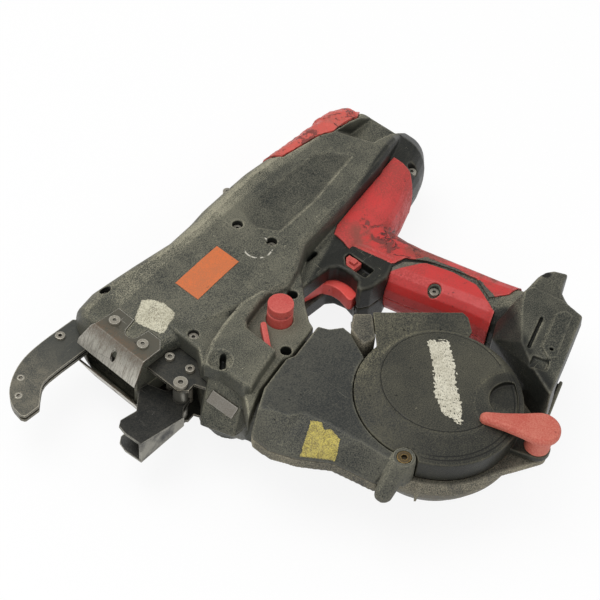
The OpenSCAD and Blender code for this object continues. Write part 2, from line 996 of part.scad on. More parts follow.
module curl_sheet(outline, z0, z1) {
    difference() {
        rounded_slab(outline, z0, z1, 1.5);
        for (p = concat(curl_holes, curl_bolts))
            post(p, 2, -10, 10);
    }
}

module curl_left() {
    color(black_steel)
        curl_sheet(curl_outer, curl_core / 2, curl_half);
}

module curl_core_plate() {
    color(black_steel)
        curl_sheet(curl_inner, -curl_core / 2, curl_core / 2);
}

module curl_right() {
    color(black_steel)
        curl_sheet(curl_outer, -curl_half, -curl_core / 2);
}

module curl_screws() {
    color(steel)
        for (p = curl_holes)
            difference() {
                union() {
                    post(p, 2, -curl_half, curl_half);
                    if (p == curl_holes[0])
                        both_sides()
                            post(p, 3, curl_half, curl_half + 1.4);
                }
                post(p, 1.2, curl_half - 0.8, curl_half + 4);
            }
}

module chassis_bolts() {
    color(steel)
        {
            for (p = curl_bolts) {
                post(p, 2, -chassis_out, chassis_out);
                both_sides()
                    post(p, curl_boss_r, chassis_out, chassis_out + 2.2);
            }
            for (p = side_bolts) {
                post(p, 2, -chassis_out, chassis_out);
                both_sides()
                    difference() {
                        post(p, 2.8, chassis_out, chassis_out + 2);
                        post(p, 1.3, chassis_out + 0.8, chassis_out + 3);
                    }
            }
        }
}

// Lower guide: a bent funnel that swings on a pin between the chassis plates
guide_mouth = -131;
guide_tail = -98;
guide_tail_half = 4;
guide_wall = [
    [guide_mouth, 107], [guide_mouth - 1, 119], [guide_mouth + 0.4, 125], [-127, 127.6], [-115, 127],
    [-107, 134], [-101, 138.6], [-95, 138.5], [-91, 128], [-84, 122], [-84, 114], [-92, 111.5],
    [guide_tail, 106]
];
funnel_turn = asin((guide_half - guide_tail_half) / (guide_tail - guide_mouth));
guide_floor = [[guide_mouth, 107], [guide_mouth, 108.6], [guide_tail, 107.2], [guide_tail, 105.6]];

module lower_guide() {
    color(black_steel)
        difference() {
            union() {
                both_sides()
                    translate([guide_mouth, 0, guide_half])
                        rotate([0, funnel_turn, 0])
                            translate([-guide_mouth, 0, -guide_sheet])
                                linear_extrude(guide_sheet)
                                    polygon(guide_wall);
                // Floor, narrowed along the funnel
                intersection() {
                    slab(guide_floor, -guide_half, guide_half);
                    rotate([-90, 0, 0])
                        linear_extrude(200)
                            polygon([
                                [guide_mouth, guide_half], [guide_tail, guide_tail_half],
                                [guide_tail, -guide_tail_half], [guide_mouth, -guide_half]
                            ]);
                }
                post(guide_pivot, guide_hub, -chassis_half + move_gap, chassis_half - move_gap);
            }
            post(guide_pivot, guide_pin_r + run_gap, -30, 30);
        }
}

guide_hub = 4.5;

module guide_pin() {
    color(steel) {
        post(guide_pivot, guide_pin_r, -chassis_out, chassis_out);
        both_sides()
            difference() {
                post(guide_pivot, 4.2, chassis_out, chassis_out + 2.4);
                post(guide_pivot, 1.6, chassis_out + 1, chassis_out + 4);
            }
    }
}

// Drive train on the twisting axis
module twist_motor() {
    color(steel) {
        along_x(motor_x[0], motor_x[1], twist_y, motor_r);
        along_x(motor_x[1], motor_x[1] + 5, twist_y, 8);
    }
}

module gearbox() {
    color(black_steel)
        difference() {
            along_x(gearbox_x[0], gearbox_x[1], twist_y, gearbox_r);
            along_x(gearbox_x[0] - 1, gearbox_x[0] + 16, twist_y, shaft_r + run_gap);
        }
}

hook_half = 5;

module twist_shaft() {
    color(steel)
        difference() {
            union() {
                along_x(-78, gearbox_x[0] + 15, twist_y, shaft_r);
                along_x(-38, -8, twist_y, shaft_r + 3);
                // Two jaws with a gap for the wire between them
                translate([-97, twist_y - 9, -hook_half])
                    cube([24, 18, 2 * hook_half]);
            }
            translate([-98, twist_y - 4, -hook_half - 1])
                cube([14, 8, 2 * hook_half + 2]);
        }
}

// Wire feed: a driven gear and an idler on one pitch line
gear_teeth = 20;
gear_pitch = norm(idler_at - feed_at) / 2;
gear_width = 9;
tooth_tip = 0.9;
tooth_root = 1.2;

function gear_outline(turn) = [
    for (t = [0 : gear_teeth - 1])
        let (a = turn + 360 * t / gear_teeth, step = 360 / gear_teeth)
            each [
                for (k = [[-0.27, -tooth_root], [-0.1, tooth_tip], [0.1, tooth_tip], [0.27, -tooth_root]])
                    (gear_pitch + k[1]) * [cos(a + k[0] * step), sin(a + k[0] * step)]
            ]
];

module gear_at(at, turn) {
    translate([at[0], at[1], -gear_width / 2])
        linear_extrude(gear_width)
            polygon(gear_outline(turn));
}

module feed_gear() {
    color(steel) {
        gear_at(feed_at, 0);
        post(feed_at, feed_shaft_r, -chassis_out - 8, chassis_out + 1);
    }
}

module idler_gear() {
    color(steel)
        difference() {
            gear_at(idler_at, 180 + 180 / gear_teeth);
            post(idler_at, idler_pin_r + run_gap, -20, 20);
        }
}

module idler_pin() {
    color(steel) {
        post(idler_at, idler_pin_r, -chassis_out, chassis_out);
        both_sides()
            post(idler_at, idler_pin_r + 1.5, chassis_out, chassis_out + 1.2);
    }
}

feed_motor_r = 11;

module feed_motor() {
    color(steel)
        difference() {
            post(feed_at, feed_motor_r, drum_end + wall, -chassis_out);
            post(feed_at, feed_shaft_r + run_gap, -chassis_out - 9, 0);
        }
}

// Small cover on the nose of the feed lobe
nose_cover_size = [18, 8, 2];
nose_cover_sink = 1.2;
nose_cover_turn = -16;

module nose_cover() {
    on_lobe()
        rotate([0, 0, nose_cover_turn])
            translate([-nose_cover_size[0] / 2, -nose_cover_size[1] / 2, -nose_cover_sink])
                cube(nose_cover_size);
}

module feed_nose_cover() {
    color(charcoal)
        nose_cover();
}

// Release button with its groove, kept in by a flange under the pocket
module release_button() {
    top = feed_half + button_rise;
    color(faded_red)
        difference() {
            union() {
                post(button_at, button_d / 2, feed_half - wall - 0.5, top);
                post(button_at, button_d / 2 + 1.6, feed_half - wall - 3.4, feed_half - wall - move_gap);
            }
            translate([button_at[0], button_at[1], feed_half + button_rise * 0.5])
                rotate_extrude()
                    translate([button_d / 2 - 1.4, 0])
                        square([4, 2]);
            post(button_at, button_d / 2 - 2.5, feed_half - wall - 4, top - 3);
        }
}

lever_hub = 4.4;

module lock_lever() {
    color(red)
        difference() {
            union() {
                post(lever_at, lever_hub, lever_z[0], lever_z[1]);
                hull() {
                    post(lever_at + [3, 1], 1.8, lever_z[0], lever_z[1] - 1, $fn = 24);
                    post(lever_tip, 1.8, lever_z[0], lever_z[1] + 1.2, $fn = 24);
                }
            }
            post(lever_at, 2 + run_gap, 0, 60);
        }
}

module lock_lever_pin() {
    color(steel)
        post(lever_at, 2, feed_half - wall + 1, hump_top - 1);
}

// Trigger, hung from a pin in front of the finger
trigger_outline = [
    [15.5, 124], [17, 129.5], [23, 130.5], [42, 126], [55, 122], [56, 113], [54, 101], [48, 96.5],
    [39, 95.5], [38, 98], [40, 106], [39.5, 112], [36.5, 117.5], [24, 120]
];
trigger_pin_r = 2.5;

module trigger() {
    color(red)
        difference() {
            rounded_slab(trigger_outline, -trigger_w / 2, trigger_w / 2, 1.2);
            post(trigger_pivot, trigger_pin_r + run_gap, -20, 20);
        }
}

module trigger_pin() {
    color(steel)
        post(trigger_pivot, trigger_pin_r, -neck_half + wall, neck_half - wall);
}

module trigger_switch() {
    color(dark)
        translate([switch_at[0], switch_at[1], -switch_size[2] / 2])
            cube(switch_size);
}

lock_outline = [[50, lock_low], [57.8, lock_low], [57.8, 115], [54.4, 115], [50, 111]];
lock_knob = [[52, lock_low + 1.5], [56, lock_low + 1.5], [56, lock_low + 5.5], [52, lock_low + 5.5]];

module trigger_lock() {
    color(red) {
        slab(lock_outline, lock_floor + 0.3, neck_half - 1);
        slab(lock_knob, neck_half - 1, neck_half + 1.5);
    }
}

module control_board() {
    color([0.1, 0.3, 0.16])
        translate([board_at[0], board_at[1], -board_size[2] / 2])
            cube(board_size);
}

// Contacts of the battery in the roof of the rail
block_half = rail_half - 12;

module terminal_block() {
    color(dark)
        on_foot()
            translate([26, rail_lip + 0.5, -block_half])
                cube([18, rail_depth - rail_lip - 0.5, 2 * block_half]);
}

module terminal_blades() {
    color(brass)
        on_foot()
            for (k = [-0.73, -0.27, 0.2, 0.67])
                translate([44, rail_lip + 1.5, k * block_half])
                    cube([9, 3.4, 1]);
}

// Controls on the sunk rear panel
dial_y = 172;
power_y = 188;
panel_x = 166;

module power_button() {
    color(red) {
        along_x(panel_x - wall - 2, panel_x + 1.6, power_y, power_d / 2);
        along_x(panel_x - wall - 4, panel_x - wall - 1.5, power_y, power_d / 2 + 1.2);
    }
}

module torque_dial() {
    color(dark)
        difference() {
            union() {
                along_x(panel_x - wall - 2, panel_x + 3, dial_y, dial_d / 2);
                along_x(panel_x - wall - 4, panel_x - wall - 1.5, dial_y, dial_d / 2 + 1.2);
            }
            translate([panel_x + 1.8, dial_y - dial_d, -0.8])
                cube([4, 2 * dial_d, 1.6]);
        }
}

// Magazine: a bowl for the spool with a wire channel that runs up to the seam
magazine_top = [for (p = seam) p - [0, seam_gap]];
front_edge = [
    spool_at + [-63.3, -7.1], spool_at + [-69.5, 18.6], [-80.7, 33.9], [-87.9, 49.3], [-88.2, 61.5]
];
upper_corner = [[-7, 77], [3, 70]];
bowl_side = [spool_at + [-2, 62], spool_at + [0, 20], spool_at + [-30, -20], spool_at + [-49, -20]];
channel_outline = concat(front_edge, magazine_top, upper_corner, bowl_side);
trunk_outline = concat(
    [spool_at + [-40, 0], spool_at + [-54, 24], [-66, 50]],
    [for (i = [1 : len(seam) - 1]) magazine_top[i]],
    upper_corner, [spool_at + [-2, 62], spool_at + [0, 20]]
);
shell_wall = 3;
channel_floor = 8;
trunk_floor = -12;
hub_r = spindle_d / 2 + 4;
foot_lug = [for (k = [0.2, 0.72]) foot_corner + k * (foot_front - foot_corner)];

module on_spool(z = 0) {
    translate([spool_at[0], spool_at[1], z])
        children();
}

// Half section of the bowl, moved in by g
function bowl_section(g) = [
    [0, -bowl_depth + g], [bowl_radius - 15 - g, -bowl_depth + g],
    [bowl_radius - 13 - g, -bowl_depth + 1 + g], [bowl_radius - 6 - g, -8],
    [bowl_radius - 1.5 - g, 0], [bowl_radius + 0.5 - g, 6]
];

// Outline of a block, hollowed from its floor upwards
module hollow(outline, floor) {
    translate([0, 0, floor + shell_wall])
        linear_extrude(60)
            offset(delta = -shell_wall)
                polygon(outline);
}

module magazine_shell() {
    color(charcoal)
        difference() {
            union() {
                on_spool() {
                    rotate_extrude($fn = 96)
                        polygon(concat(bowl_section(0), [[rim_r, rim_top], [0, rim_top]]));
                    // Well of the spindle, down to the resting face
                    translate([0, 0, -lift])
                        cylinder(r = hub_r + shell_wall, h = lift - bowl_depth + shell_wall);
                }
                slab(channel_outline, channel_floor, rim_top);
                slab(trunk_outline, trunk_floor, channel_floor + shell_wall);
                // Tongue against the seam of the housing
                slab(concat(
                    [for (i = [1 : len(seam) - 1]) seam[i]],
                    [for (i = [len(seam) - 1 : -1 : 1]) magazine_top[i]]
                ), trunk_floor, 12);
                // Lug of the rim under the latch
                hull() {
                    post(latch_at, 7, rim_top - 5, rim_top, $fn = 32);
                    post(spool_at + polar(rim_r - 6, -118), 5, rim_top - 5, rim_top, $fn = 32);
                    post(spool_at + polar(rim_r - 6, -50), 5, rim_top - 5, rim_top, $fn = 32);
                }
                // Rib on the side of the bowl
                on_spool()
                    rotate([0, 0, 208])
                        translate([bowl_radius - 6, -0.8, -2])
                            cube([7.4, 1.6, rim_top - 1]);
                // Lug against the foot
                slab(concat(foot_lug, [spool_at + [36, -20], spool_at + [30, -34]]), -10, 10);
                hinge_ears();
            }
            on_spool() {
                rotate_extrude($fn = 96)
                    polygon(concat(bowl_section(shell_wall), [[rim_r - 4, rim_top + 1], [0, rim_top + 1]]));
                translate([0, 0, -lift + shell_wall])
                    cylinder(r = hub_r, h = lift);
            }
            hollow(channel_outline, channel_floor);
            hollow(trunk_outline, trunk_floor);
            strap(move_gap);
            translate([-56, 50, -5])
                cube([14, 40, 10]);
            on_hinge()
                cylinder(r = hinge_pin_d / 2, h = 120, center = true);
            post(boss_at, 1.6, -5, 60);
        }
}

// Frame of the cover's hinge: z along the pin
module on_hinge() {
    translate([hinge_mid[0], hinge_mid[1], hinge_z])
        rotate([0, 0, hinge_turn])
            rotate([0, 90, 0])
                children();
}

ear_t = [-40, -27.5];
lug_t = [20.5, 26];
cover_t = [-27, 20];

ear_outline = [
    spool_at + [-3, 54], spool_at + [1, 67], spool_at + [11, 73.5], spool_at + [18.6, 65.9],
    spool_at + [6.2, 52.5]
];

module hinge_ears() {
    slab(ear_outline, 0, cover_face - 1);
    on_hinge()
        translate([0, 0, lug_t[0]]) {
            cylinder(r = hinge_pin_d / 2 + 1.6, h = lug_t[1] - lug_t[0]);
            translate([0, -4.6, 0])
                cube([hinge_z - rim_top + 3, 3.4, lug_t[1] - lug_t[0]]);
            translate([hinge_z - rim_top, -9.5, 0])
                cube([12, 8.3, lug_t[1] - lug_t[0]]);
        }
}

strap_r = 6.5;
strap_reach = 14.5;
strap_end = [11.5, 15];
cover_gap = 1.2;
crease = [
    [-78, 67.5], [-73, 57.5], [-70, 50.5], [-63.5, 46.5], [-59.5, 33],
    spool_at + [-56, 10], spool_at + [-54, -9]
];
front_low = 18;
front_hole = [
    spool_at + [-9, 48], spool_at + [-6, 54], spool_at + [-0.2, 66.5],
    [0.5, 80], [25, 80], spool_at + [25, 40]
];

front_flat = concat(
    [spool_at + [-54, -20]], [for (i = [3 : -1 : 0]) bowl_side[i]], [upper_corner[1], upper_corner[0]],
    [for (i = [len(seam) - 1 : -1 : 1]) magazine_top[i]], crease
);

module magazine_front() {
    color(charcoal)
        difference() {
            union() {
                difference() {
                    union() {
                        // Flat part beside the cover
                        slab(front_flat, rim_top, front_top);
                        // Faces that fall away to the front edge
                        front_wedge(
                            [crease[0], crease[1], crease[2]],
                            [front_edge[3], front_edge[4], magazine_top[0]]
                        );
                        front_wedge([crease[2], crease[3]], [front_edge[3]]);
                        front_wedge([crease[3], crease[4]], [front_edge[2], front_edge[3]]);
                        front_wedge([crease[4], crease[5]], [front_edge[1], front_edge[2]]);
                        front_wedge([crease[5], crease[6]], [front_edge[0], front_edge[1]]);
                    }
                    on_spool(rim_top - 1)
                        cylinder(r = cover_radius + cover_gap, h = 60, $fn = 96);
                    slab(front_hole, rim_top - 1, 60);
                    // Hollow underside
                    difference() {
                        translate([0, 0, rim_top - 1])
                            linear_extrude(front_low - rim_top)
                                offset(delta = -shell_wall)
                                    polygon(channel_outline);
                        on_spool()
                            cylinder(r = cover_radius + 4, h = 60);
                    }
                }
                post(boss_at, strap_r, rim_top, cover_face);
                strap();
            }
            post(boss_at, 1.6, 0, 60);
            post(boss_at, 4.3, cover_face - 3, 60);
        }
}

// Strap from the boss down over the front edge
module strap(g = 0) {
    hull() {
        post(boss_at - [2, 0], strap_r - 1 + g, cover_face - 8 - g, cover_face - 1, $fn = 32);
        post(boss_at - [strap_reach, 0], strap_r - 1.5 + g, strap_end[0] - g, strap_end[1], $fn = 32);
    }
}

module front_wedge(high, low) {
    ledge = concat(high, [for (i = [len(high) - 1 : -1 : 0]) high[i] + [1, 0]]);
    hull() {
        slab(ledge, rim_top, front_top);
        slab(concat(low, high), rim_top, front_low);
    }
}

module boss_screw() {
    color(brass)
        difference() {
            union() {
                post(boss_at, 4, cover_face - 3, cover_face - 0.4);
                post(boss_at, 1.5, rim_top - 8, cover_face - 3);
            }
            translate([boss_at[0], boss_at[1], cover_face - 2])
                cylinder(r = 1.9, h = 4, $fn = 6);
        }
}

// Cover: a crowned round lid with a hinge flap, a thumb hollow and an ear for the latch
flap_outline = [
    for (p = [[-3, 40], [-2, 50], [2, 62], [17.4, 68.6], [20, 66], [58, 28], [57, 23], [50, 15], [30, 10]])
        spool_at + p
];
flap_top = cover_face - 1;
ear_z = [rim_top + 1, rim_top + 5];
crown = 3;
cover_lip = 0.7;
dome_at = spool_at + [8, 3.5];
dome_r = cover_radius - 10.5;
thumb_at = spool_at + [25, -34];
thumb_ring = spool_at + [24, -39];
line_w = 0.8;
line_deep = 0.7;

module magazine_cover() {
    shoulder = cover_face - crown;
    color(charcoal)
        difference() {
            union() {
                hull() {
                    on_spool(cover_face - cover_depth)
                        cylinder(r = cover_radius, h = 1, $fn = 64);
                    on_spool(shoulder - 2)
                        cylinder(r = cover_radius + cover_lip, h = 2, $fn = 64);
                    post(dome_at, dome_r, cover_face - 0.5, cover_face, $fn = 64);
                }
                difference() {
                    slab(flap_outline, flap_top - 2, flap_top);
                    on_hinge()
                        translate([-20, -60, ear_t[0] - 10])
                            cube([40, 120, cover_t[0] - ear_t[0] + 10]);
                }
                on_hinge()
                    translate([0, 0, cover_t[0]])
                        cylinder(r = 5.6, h = cover_t[1] - cover_t[0]);
                hull() {
                    post(latch_at, 8, ear_z[0], ear_z[1], $fn = 32);
                    post(spool_at + 0.72 * (latch_at - spool_at), 9, ear_z[0], ear_z[1], $fn = 32);
                }
            }
            on_spool()
                cylinder(r = cover_radius - shell_wall, h = shoulder - shell_wall);
            on_hinge()
                cylinder(r = hinge_pin_d / 2 + run_gap, h = 120, center = true);
            // Ring lines of the raised middle and round the thumb hollow
            difference() {
                ring_line(dome_at, dome_r - 1.5);
                post(thumb_ring, 26, 0, 60);
            }
            intersection() {
                ring_line(thumb_ring, 26);
                post(dome_at, dome_r - 1, 0, 60);
            }
            // Thumb hollow beside the latch
            intersection() {
                post(thumb_at, 14, cover_face - 3.6, 60);
                on_spool()
                    cylinder(r = cover_radius - 3, h = 60);
            }
            post(latch_at, 3, 0, 60);
            post(boss_at, strap_r + cover_gap, 0, 60);
        }
}

module ring_line(at, r) {
    translate([at[0], at[1], cover_face - line_deep])
        rotate_extrude($fn = 96)
            translate([r, 0])
                square([line_w, 2]);
}

module hinge_pin() {
    color(steel)
        on_hinge()
            translate([0, 0, ear_t[0]])
                cylinder(r = hinge_pin_d / 2, h = lug_t[1] - ear_t[0]);
}

// Latch lever of the cover: a tapered finger on a round head
latch_base = 7.5;
latch_head = 10.8;
latch_z = ear_z[1] + 0.2;

module latch_step(k, r) {
    over = cover_face + 0.4;
    at = latch_at + k * (latch_tip - latch_at);
    post(at, r, over, over + 3, $fn = 32);
    post(at, r - 1.6, over, over + 5, $fn = 32);
}

module cover_latch() {
    color(faded_red)
        difference() {
            union() {
                post(latch_at, latch_base, latch_z, cover_face + 1);
                hull() {
                    latch_step(0, latch_head);
                    latch_step(0.3, 8);
                }
                hull() {
                    latch_step(0.3, 8);
                    latch_step(0.65, 5.4);
                }
                hull() {
                    latch_step(0.65, 5.4);
                    latch_step(1, 3.6);
                }
            }
            post(latch_at, 3 + run_gap, 0, cover_face + 3);
        }
}

module latch_pin() {
    color(steel) {
        post(latch_at, 3, ear_z[0], cover_face + 2);
        post(latch_at, 5, ear_z[0] - 0.8, ear_z[0]);
    }
}

// Spool on its spindle
module spool() {
    half = spool_width / 2;
    color([0.1, 0.1, 0.11])
        on_spool(spool_mid)
            rotate_extrude($fn = 96)
                polygon([
                    [spindle_d / 2 + move_gap, -half], [spool_radius, -half], [spool_radius, -half + 2],
                    [20, -half + 2.5], [20, half - 2.5], [spool_radius, half - 2], [spool_radius, half],
                    [spindle_d / 2 + move_gap, half]
                ]);
}

module spindle() {
    half = spool_width / 2;
    color(dark) {
        post(spool_at, spindle_d / 2, -lift + shell_wall, spool_mid + half + 2);
        post(spool_at, hub_r - 0.1, -lift + shell_wall, spool_mid - half - move_gap);
    }
}

// Screws of the housings
module flat_screw(at, seat, reach) {
    difference() {
        union() {
            post(at, screw_head_d / 2, seat, seat + screw_head_h);
            post(at, screw_d / 2, seat - reach, seat);
        }
        translate([at[0], at[1], seat + screw_head_h - 1.2])
            cylinder(r = screw_d * 0.45, h = 3, $fn = 6);
    }
}

module housing_screws() {
    color(steel) {
        for (p = flank_screws)
            flat_screw(p, p[2], p[2] - chassis_half);
        for (p = pair_screws)
            flat_screw(p, p[2], p[2] + screw_reach);
    }
}

module raised() {
    translate([0, 0, lift])
        children();
}

raised() left_housing();
raised() right_housing();
raised() top_bumper();
raised() left_rear_pad();
raised() right_rear_pad();
raised() left_grip_panel();
raised() right_grip_panel();
raised() blank_plate();
raised() chassis();
raised() left_wear_plate();
raised() right_wear_plate();
raised() wear_screws();
raised() curl_left();
raised() curl_core_plate();
raised() curl_right();
raised() curl_screws();
raised() chassis_bolts();
raised() lower_guide();
raised() guide_pin();
raised() twist_motor();
raised() gearbox();
raised() twist_shaft();
raised() feed_motor();
raised() feed_gear();
raised() idler_gear();
raised() idler_pin();
raised() feed_nose_cover();
raised() release_button();
raised() lock_lever();
raised() lock_lever_pin();
raised() trigger();
raised() trigger_pin();
raised() trigger_switch();
raised() trigger_lock();
raised() control_board();
raised() terminal_block();
raised() terminal_blades();
raised() power_button();
raised() torque_dial();
raised() magazine_shell();
raised() magazine_front();
raised() magazine_cover();
raised() hinge_pin();
raised() cover_latch();
raised() latch_pin();
raised() spool();
raised() spindle();
raised() boss_screw();
raised() housing_screws();
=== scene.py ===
"""Looks of the cordless rebar tying tool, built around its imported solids.

The solids keep their places. This file rounds their edges, gives each one its worn finish,
and lays the labels on them. Places are in millimetres on the tool's own side view, with x to
the rear, y to the top and z from the parting plane of the housings; MM turns them into metres.
"""

import math

import bmesh
import bpy
from mathutils import Matrix, Vector
from mathutils import noise as wobble
from mathutils.bvhtree import BVHTree


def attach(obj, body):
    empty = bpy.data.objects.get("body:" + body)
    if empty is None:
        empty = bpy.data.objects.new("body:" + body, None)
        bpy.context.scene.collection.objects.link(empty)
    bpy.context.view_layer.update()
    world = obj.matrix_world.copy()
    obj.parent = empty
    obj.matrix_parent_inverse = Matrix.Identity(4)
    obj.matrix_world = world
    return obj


MM = 0.001
# The parting plane of the housings lies this high over the floor
PARTING = 36.0

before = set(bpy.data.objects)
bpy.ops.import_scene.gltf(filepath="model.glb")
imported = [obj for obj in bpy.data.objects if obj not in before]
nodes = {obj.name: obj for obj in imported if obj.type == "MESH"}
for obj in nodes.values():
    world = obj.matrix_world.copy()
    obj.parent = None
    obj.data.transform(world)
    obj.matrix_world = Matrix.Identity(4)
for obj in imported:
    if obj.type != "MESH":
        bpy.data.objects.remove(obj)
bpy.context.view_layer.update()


# Node trees

# Sockets of the Mix node that its colour mode uses
MIX_AMOUNT = 0
MIX_LOW = 6
MIX_HIGH = 7
MIX_RESULT = 2


def fill_socket(tree, socket, value):
    """Links a socket to another one, or sets its own value."""
    if isinstance(value, bpy.types.NodeSocket):
        tree.links.new(value, socket)
    else:
        socket.default_value = value


def add(tree, kind, inputs=None, **settings):
    """A new node with its settings made and its inputs filled."""
    node = tree.nodes.new(kind)
    for key, value in settings.items():
        setattr(node, key, value)
    for key, value in (inputs or {}).items():
        fill_socket(tree, node.inputs[key], value)
    return node


def calc(tree, operation, a, b=0.0):
    return add(tree, "ShaderNodeMath", {0: a, 1: b}, operation=operation).outputs[0]


def chain(tree, operation, values):
    """One operation over several values in turn."""
    result = values[0]
    for value in values[1:]:
        result = calc(tree, operation, result, value)
    return result


def product(tree, *factors):
    return chain(tree, "MULTIPLY", factors)


def greatest(tree, *masks):
    return chain(tree, "MAXIMUM", masks)


def opposite(tree, mask):
    return calc(tree, "SUBTRACT", 1.0, mask)


def mixed(tree, first, second, share):
    """Two values in one, with this share of the second."""
    return calc(tree, "ADD", product(tree, first, 1.0 - share), product(tree, second, share))


def blend_colours(tree, amount, low, high):
    inputs = {MIX_AMOUNT: amount, MIX_LOW: low, MIX_HIGH: high}
    return add(tree, "ShaderNodeMix", inputs, data_type="RGBA").outputs[MIX_RESULT]


def lay_over(tree, base, *layers):
    """A base colour under layers, each given as a mask, its greatest share and its colour."""
    for mask, share, tint in layers:
        base = blend_colours(tree, product(tree, mask, share), base, tint)
    return base


def ramp(tree, value, low, high, to_low=0.0, to_high=1.0):
    """A smooth step of a value, from to_low at low to to_high at high."""
    node = add(
        tree,
        "ShaderNodeMapRange",
        {"Value": value, "From Min": low, "From Max": high, "To Min": to_low, "To Max": to_high},
        interpolation_type="SMOOTHSTEP",
    )
    return node.outputs["Result"]


def between(tree, mask, none, full):
    """A factor that goes from one value to another as a mask grows from 0 to 1."""
    return ramp(tree, mask, 0.0, 1.0, none, full)


def noise(tree, where, scale, detail, rough):
    node = add(
        tree,
        "ShaderNodeTexNoise",
        {"Vector": where, "Scale": scale, "Detail": detail, "Roughness": rough},
    )
    return node.outputs["Fac"]


def vector_calc(tree, operation, inputs, result="Vector"):
    return add(tree, "ShaderNodeVectorMath", inputs, operation=operation).outputs[result]


def new_group(name, inputs, outputs):
    """A shader group with named number inputs and number outputs."""
    group = bpy.data.node_groups.new(name, "ShaderNodeTree")
    for label, value in inputs:
        socket = group.interface.new_socket(label, in_out="INPUT", socket_type="NodeSocketFloat")
        socket.default_value = value
    for label in outputs:
        group.interface.new_socket(label, in_out="OUTPUT", socket_type="NodeSocketFloat")
    start = group.nodes.new("NodeGroupInput")
    end = group.nodes.new("NodeGroupOutput")
    return group, start.outputs, end.inputs


def surface_place(tree):
    return add(tree, "ShaderNodeTexCoord").outputs["Object"]


# Effects that several finishes share

# Noise values between which dust, dark specks and pale flecks grow full
DUST_RANGE = (0.36, 0.64)
SPECK_RANGE = (0.69, 0.75)
FLECK_RANGE = (0.72, 0.78)
# How fine the specks and the flecks are
SPECK_SCALE = 330.0
FLECK_SCALE = 520.0
# Pointiness of a flat face, and how far over it an edge begins
FLAT_POINT = 0.5
EDGE_START = 0.004
# Turn about z, and stretch, of each set of scratches
SCRATCH_SETS = ((0.6, (90, 2100, 2100)), (-0.9, (1900, 80, 1900)), (2.3, (110, 2400, 1800)))
SCRATCH_RANGE = (0.68, 0.74)


def make_side_view():
    """Where a point lies on the side view, in millimetres, and which way its face looks."""
    group, _, out = new_group("side_view", [], ["X", "Y", "Z", "Forward", "Upward", "Flat"])
    place = add(group, "ShaderNodeTexCoord")
    spot = add(group, "ShaderNodeSeparateXYZ", {0: place.outputs["Object"]}).outputs
    facing = add(group, "ShaderNodeSeparateXYZ", {0: place.outputs["Normal"]}).outputs
    height = calc(group, "SUBTRACT", calc(group, "DIVIDE", spot["Z"], MM), PARTING)
    group.links.new(calc(group, "DIVIDE", spot["X"], MM), out["X"])
    group.links.new(calc(group, "DIVIDE", spot["Y"], MM), out["Y"])
    group.links.new(calc(group, "ABSOLUTE", height), out["Z"])
    group.links.new(calc(group, "MULTIPLY", facing["X"], -1.0), out["Forward"])
    group.links.new(facing["Y"], out["Upward"])
    group.links.new(calc(group, "ABSOLUTE", facing["Z"]), out["Flat"])
    return group


def make_site_dust():
    """Concrete dust: a grainy film that comes and goes, the moulded grain, dark and pale specks."""
    group, given, out = new_group(
        "site_dust",
        [("Patch scale", 17.0), ("Grain scale", 1500.0)],
        ["Film", "Patches", "Grain", "Specks", "Flecks"],
    )
    where = surface_place(group)
    smear_scale = product(group, given["Patch scale"], 6.5)
    broad = noise(group, where, given["Patch scale"], detail=5.0, rough=0.6)
    smear = noise(group, where, smear_scale, detail=4.0, rough=0.65)
    fine = noise(group, where, given["Grain scale"], detail=1.0, rough=0.5)
    specks = noise(group, where, SPECK_SCALE, detail=2.0, rough=0.5)
    flecks = noise(group, where, FLECK_SCALE, detail=2.0, rough=0.5)
    patches = mixed(group, broad, smear, share=0.25)
    film = mixed(group, patches, fine, share=0.48)
    group.links.new(ramp(group, film, *DUST_RANGE), out["Film"])
    group.links.new(ramp(group, patches, *DUST_RANGE), out["Patches"])
    group.links.new(calc(group, "ADD", fine, product(group, smear, 0.5)), out["Grain"])
    group.links.new(ramp(group, specks, *SPECK_RANGE), out["Specks"])
    group.links.new(ramp(group, flecks, *FLECK_RANGE), out["Flecks"])
    return group


def make_rubbed_edges():
    """How far an edge of a moulding is rubbed pale."""
    group, given, out = new_group("rubbed_edges", [("Reach", 0.045), ("Break scale", 120.0)], ["Edge"])
    point = add(group, "ShaderNodeNewGeometry").outputs["Pointiness"]
    full = calc(group, "ADD", FLAT_POINT, given["Reach"])
    raised = add(
        group,
        "ShaderNodeMapRange",
        {"Value": point, "From Min": FLAT_POINT + EDGE_START, "From Max": full},
    ).outputs["Result"]
    broken = noise(group, surface_place(group), given["Break scale"], detail=5.0, rough=0.65)
    group.links.new(product(group, raised, ramp(group, broken, 0.3, 0.65)), out["Edge"])
    return group


def make_hollows():
    """How deep a point lies in a hole, a groove or a hollow of its own piece, found by ambient occlusion;
    the finishes darken these places with it as painted shade.
    """
    group, given, out = new_group("hollows", [("Reach", 0.014)], ["Depth"])
    open_sky = add(
        group, "ShaderNodeAmbientOcclusion", {"Distance": given["Reach"]}, samples=8, only_local=True
    ).outputs["AO"]
    group.links.new(ramp(group, open_sky, 0.78, 0.28), out["Depth"])
    return group


def make_bare_edges():
    """Where paint or blacking has gone from the edges of a metal piece."""
    group, given, out = new_group(
        "bare_edges", [("Radius", 0.0011), ("Break scale", 180.0)], ["Edge"]
    )
    rounded = add(group, "ShaderNodeBevel", {"Radius": given["Radius"]}, samples=6)
    true = add(group, "ShaderNodeNewGeometry")
    meet = vector_calc(
        group, "DOT_PRODUCT", {0: rounded.outputs["Normal"], 1: true.outputs["Normal"]}, "Value"
    )
    turned = ramp(group, opposite(group, meet), 0.01, 0.14)
    broken = noise(group, surface_place(group), given["Break scale"], detail=6.0, rough=0.7)
    group.links.new(product(group, turned, ramp(group, broken, 0.26, 0.5)), out["Edge"])
    return group


